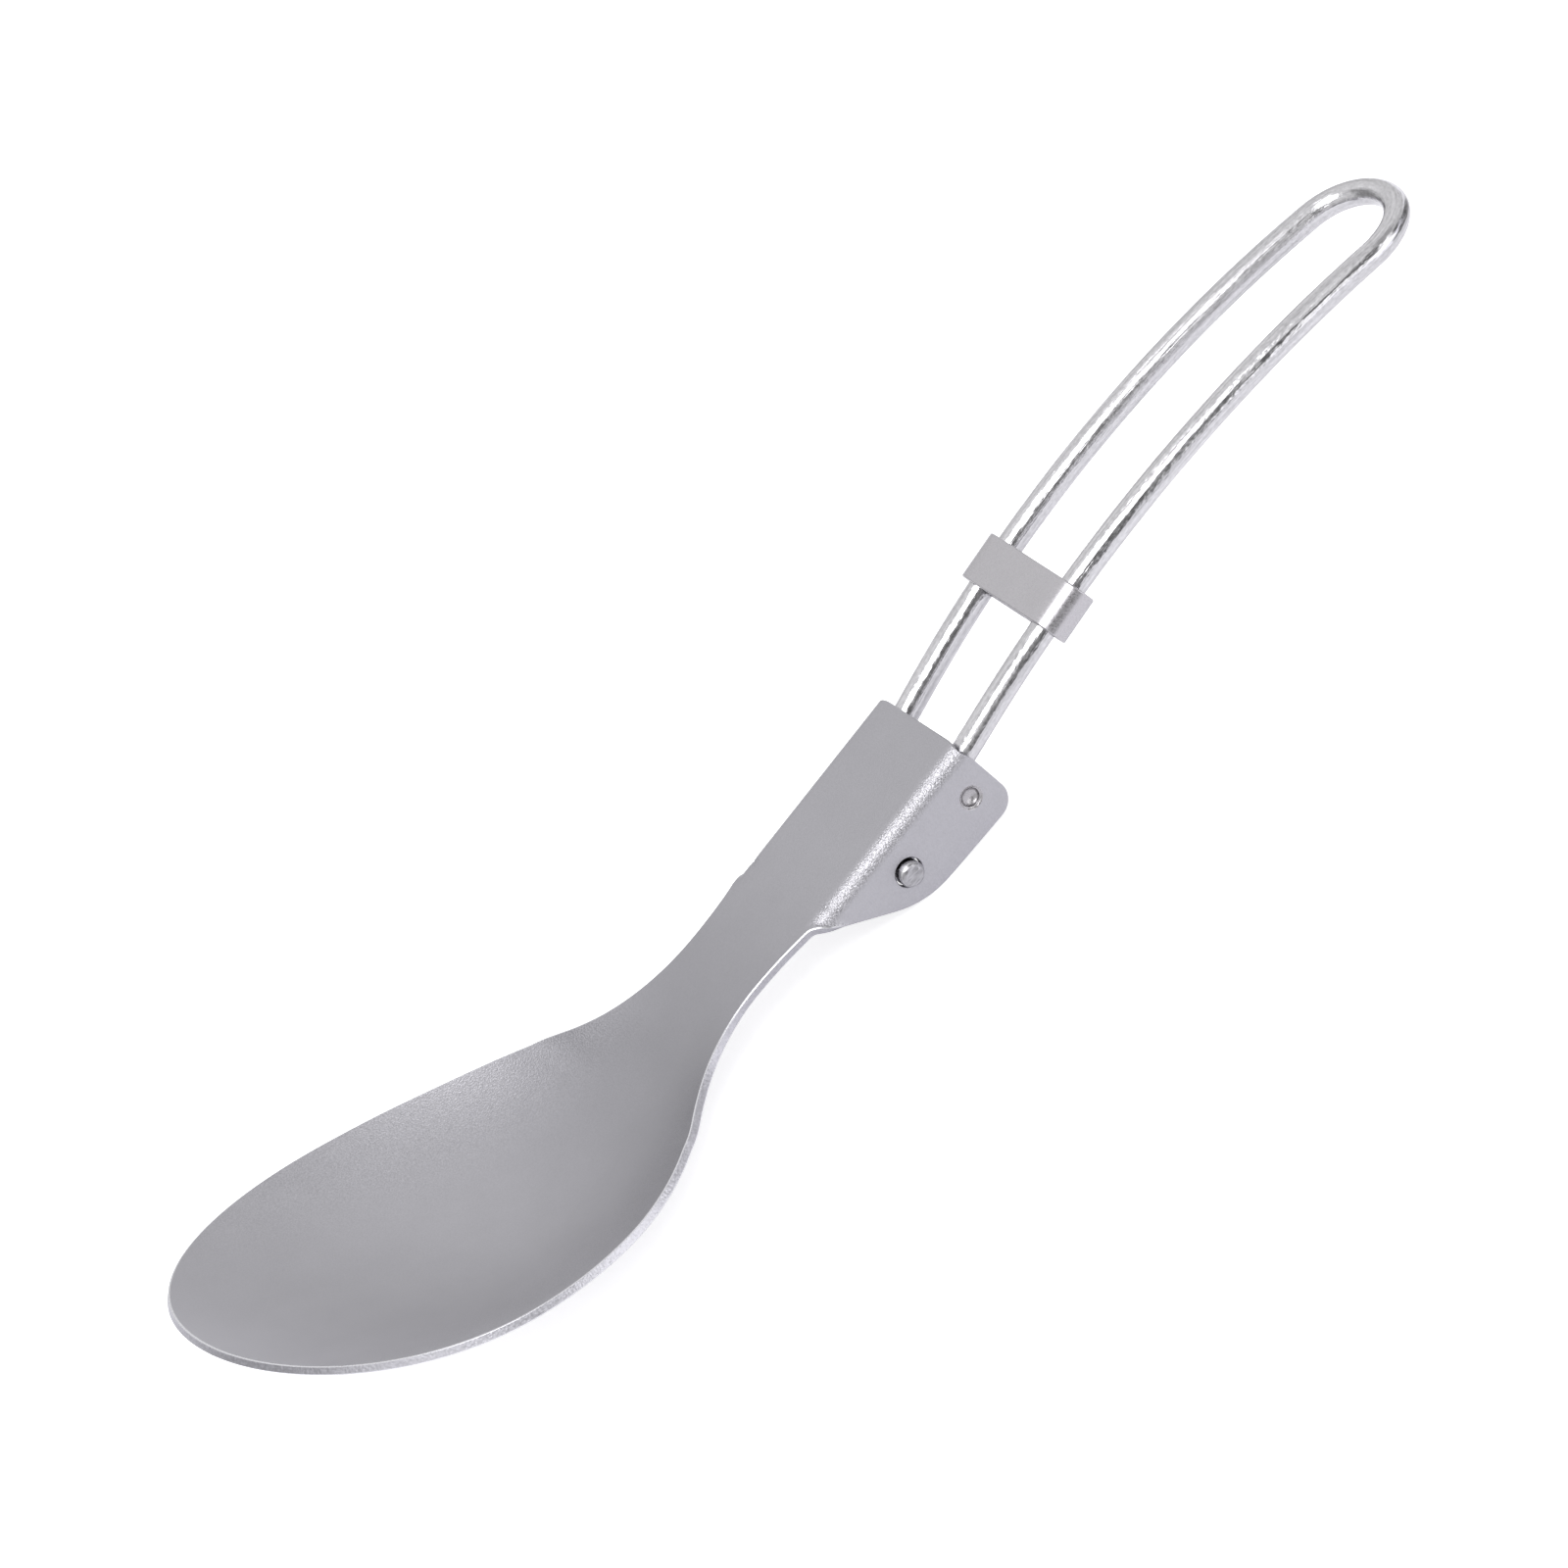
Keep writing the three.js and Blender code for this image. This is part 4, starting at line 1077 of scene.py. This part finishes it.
def lay_table(s, scene):
    """A white table: matt to light, white to the camera, and in reflections evenly bright, with a painted pool
    of light and patches of painted shade.
    """
    mesh = bpy.data.meshes.new("table")
    corners = ((-1, -1), (1, -1), (1, 1), (-1, 1))
    mesh.from_pydata([(x * s.table_reach, y * s.table_reach, 0) for x, y in corners], [], [(0, 1, 2, 3)])
    table = bpy.data.objects.new("table", mesh)
    scene.collection.objects.link(table)
    material = bpy.data.materials.new("white_table")
    tree = empty_tree(material)
    rays = add(tree, "ShaderNodeLightPath").outputs
    glossy = rays["Is Glossy Ray"]
    place = add(tree, "ShaderNodeTexCoord").outputs["Object"]
    axes = add(tree, "ShaderNodeSeparateXYZ", None, {0: place}).outputs
    backdrop = linear(s.backdrop_colour)

    # A painted pool of light on the table beside the loop, where the window would light it, seen in
    # reflections.
    painted_light = within(tree, axes, ("X", 0.10, 0.13), ("Y", -0.02, -0.06))
    level = add(tree, "ShaderNodeMath", {"operation": "MULTIPLY_ADD", 1: s.window_tone / 2, 2: s.floor_shine},
                {0: painted_light})
    mirrored = add(tree, "ShaderNodeMath", {"operation": "MULTIPLY"}, {0: glossy, 1: level.outputs[0]})
    seen = add(tree, "ShaderNodeMath", {"operation": "MULTIPLY", 1: s.floor_glow}, {0: rays["Is Camera Ray"]})
    surface = add(tree, "ShaderNodeBsdfDiffuse", {"Color": linear(s.floor_colour)})
    for colour, strength in ((linear(s.shine_colour), mirrored), (backdrop, seen)):
        glow = add(tree, "ShaderNodeEmission", {"Color": colour}, {"Strength": strength.outputs[0]})
        surface = add(tree, "ShaderNodeAddShader", None, {0: surface.outputs[0], 1: glow.outputs[0]})

    # Painted shade on its front, by the open side, and on a patch behind the loop, seen in reflections.
    front = within(tree, axes, ("Y", -0.055, -0.11), ("X", 0.10, 0.06), ("X", -0.3, -0.2), start=glossy)
    behind = within(tree, axes, ("X", 0.10, 0.12), ("Y", -0.05, -0.03), ("Y", 0.03, 0.01), start=glossy)
    painted_shade = add(tree, "ShaderNodeMath", {"operation": "ADD"}, {0: front, 1: behind})
    dim = add(tree, "ShaderNodeEmission", {"Color": backdrop, "Strength": s.gap_tone})
    laid = add(tree, "ShaderNodeMixShader", None,
               {0: painted_shade.outputs[0], 1: surface.outputs[0], 2: dim.outputs[0]})
    add(tree, "ShaderNodeOutputMaterial", None, {"Surface": laid.outputs[0]})
    mesh.materials.append(material)


def pitch_tent(s, scene):
    """The white tent as a world: white to the camera, even to the table, bright and dim in reflections."""
    scene.world = bpy.data.worlds.new("studio")
    tree = empty_tree(scene.world)
    rays = add(tree, "ShaderNodeLightPath").outputs
    place = add(tree, "ShaderNodeTexCoord").outputs["Generated"]
    axes = add(tree, "ShaderNodeSeparateXYZ", None, {0: place}).outputs
    tent = add(tree, "ShaderNodeMapRange",
               {"From Min": 0.0, "From Max": 0.6, "To Min": s.low_wall_tone, "To Max": s.high_wall_tone},
               {"Value": axes["Z"]}).outputs[0]
    # Each part has its tone and the edges within which it lies. The window is wider at the foot.
    parts = (
        (s.corner_tone, ("X", 0.26, 0.45), ("Y", 0.1, -0.1), ("Z", 0.4, 0.55)),
        (s.gap_tone, ("X", -0.24, -0.10), ("X", 0.58, 0.46), ("Y", -0.3, -0.55), ("Z", 0.71, 0.61)),
        (s.bowl_end_tone, ("X", -0.4, -0.65), ("Y", -0.1, 0.3)),
        (s.window_tone, ("X", 0.34, 0.48), ("X", 0.82, 0.70), ("Y", -0.2, -0.4), ("Z", 0.52, 0.42)),
        (s.window_tone, ("X", 0.08, 0.18), ("X", 0.82, 0.70), ("Y", -0.2, -0.4), ("Z", 0.34, 0.22)),
        (s.far_end_tone, ("X", 0.72, 0.92), ("Y", -0.05, -0.2), ("Z", 0.4, 0.2)),
    )
    for level, *edges in parts:
        tent = add(tree, "ShaderNodeMix", {"data_type": "FLOAT", 3: level},
                   {0: within(tree, axes, *edges), 2: tent}).outputs[0]
    backdrop = linear(s.backdrop_colour)
    mirrored = add(tree, "ShaderNodeBackground", {"Color": backdrop}, {"Strength": tent})
    walls, white = (add(tree, "ShaderNodeBackground", {"Color": backdrop, "Strength": strength})
                    for strength in (s.wall_tone, 1.0))
    for kind, shown in (("Is Glossy Ray", mirrored), ("Is Camera Ray", white)):
        walls = add(tree, "ShaderNodeMixShader", None,
                    {0: rays[kind], 1: walls.outputs[0], 2: shown.outputs[0]})
    add(tree, "ShaderNodeOutputWorld", None, {"Surface": walls.outputs[0]})


def hang_soft_box(s, scene):
    """A round soft box over the table, leaning toward the open front."""
    data = bpy.data.lights.new("overhead", "AREA")
    data.shape = "ELLIPSE"
    data.size, data.size_y = s.overhead_width, s.overhead_length
    data.energy = s.overhead_power
    lamp = bpy.data.objects.new("overhead", data)
    scene.collection.objects.link(lamp)
    reach, lean = s.overhead_reach, s.overhead_lean
    lamp.location = (-s.overhead_shift, -math.sin(lean) * reach, math.cos(lean) * reach)
    lamp.rotation_euler = (-lamp.location).to_track_quat("-Z", "Y").to_euler()


class SPOON_OT_stage(bpy.types.Operator):
    """Lays the table, pitches the tent, hangs the soft box and sets the camera"""

    bl_idname = "spoon.stage"
    bl_label = "Studio"

    def execute(self, context):
        scene = context.scene
        for build in (set_camera, lay_table, pitch_tent, hang_soft_box):
            build(scene.spoon_stage, scene)
        scene.view_settings.view_transform = "Standard"
        return {"FINISHED"}


class SPOON_PT_panel(bpy.types.Panel):
    """Lists the pieces of the spoon and its studio"""

    bl_idname = "SPOON_PT_panel"
    bl_label = "Folding spoon"
    bl_space_type = "VIEW_3D"
    bl_region_type = "UI"
    bl_category = "Spoon"

    def draw(self, context):
        for operator in PIECES:
            self.layout.operator(operator.bl_idname)


PIECES = (SPOON_OT_stage, SPOON_OT_head, SPOON_OT_wire, SPOON_OT_collar)
GROUPS = {
    "spoon_head": HeadSizes,
    "spoon_wire": WireSizes,
    "spoon_collar": CollarSizes,
    "spoon_stage": StageSizes,
}
CLASSES = (*GROUPS.values(), *PIECES, SPOON_PT_panel)


def register():
    for cls in CLASSES:
        bpy.utils.register_class(cls)
    for name, group in GROUPS.items():
        setattr(bpy.types.Scene, name, PointerProperty(type=group))


def unregister():
    for name in GROUPS:
        delattr(bpy.types.Scene, name)
    for cls in reversed(CLASSES):
        bpy.utils.unregister_class(cls)


def main():
    register()
    bpy.ops.spoon.stage()
    bpy.ops.spoon.head()
    bpy.ops.spoon.wire()
    bpy.ops.spoon.collar()


if __name__ == "__main__":
    main()
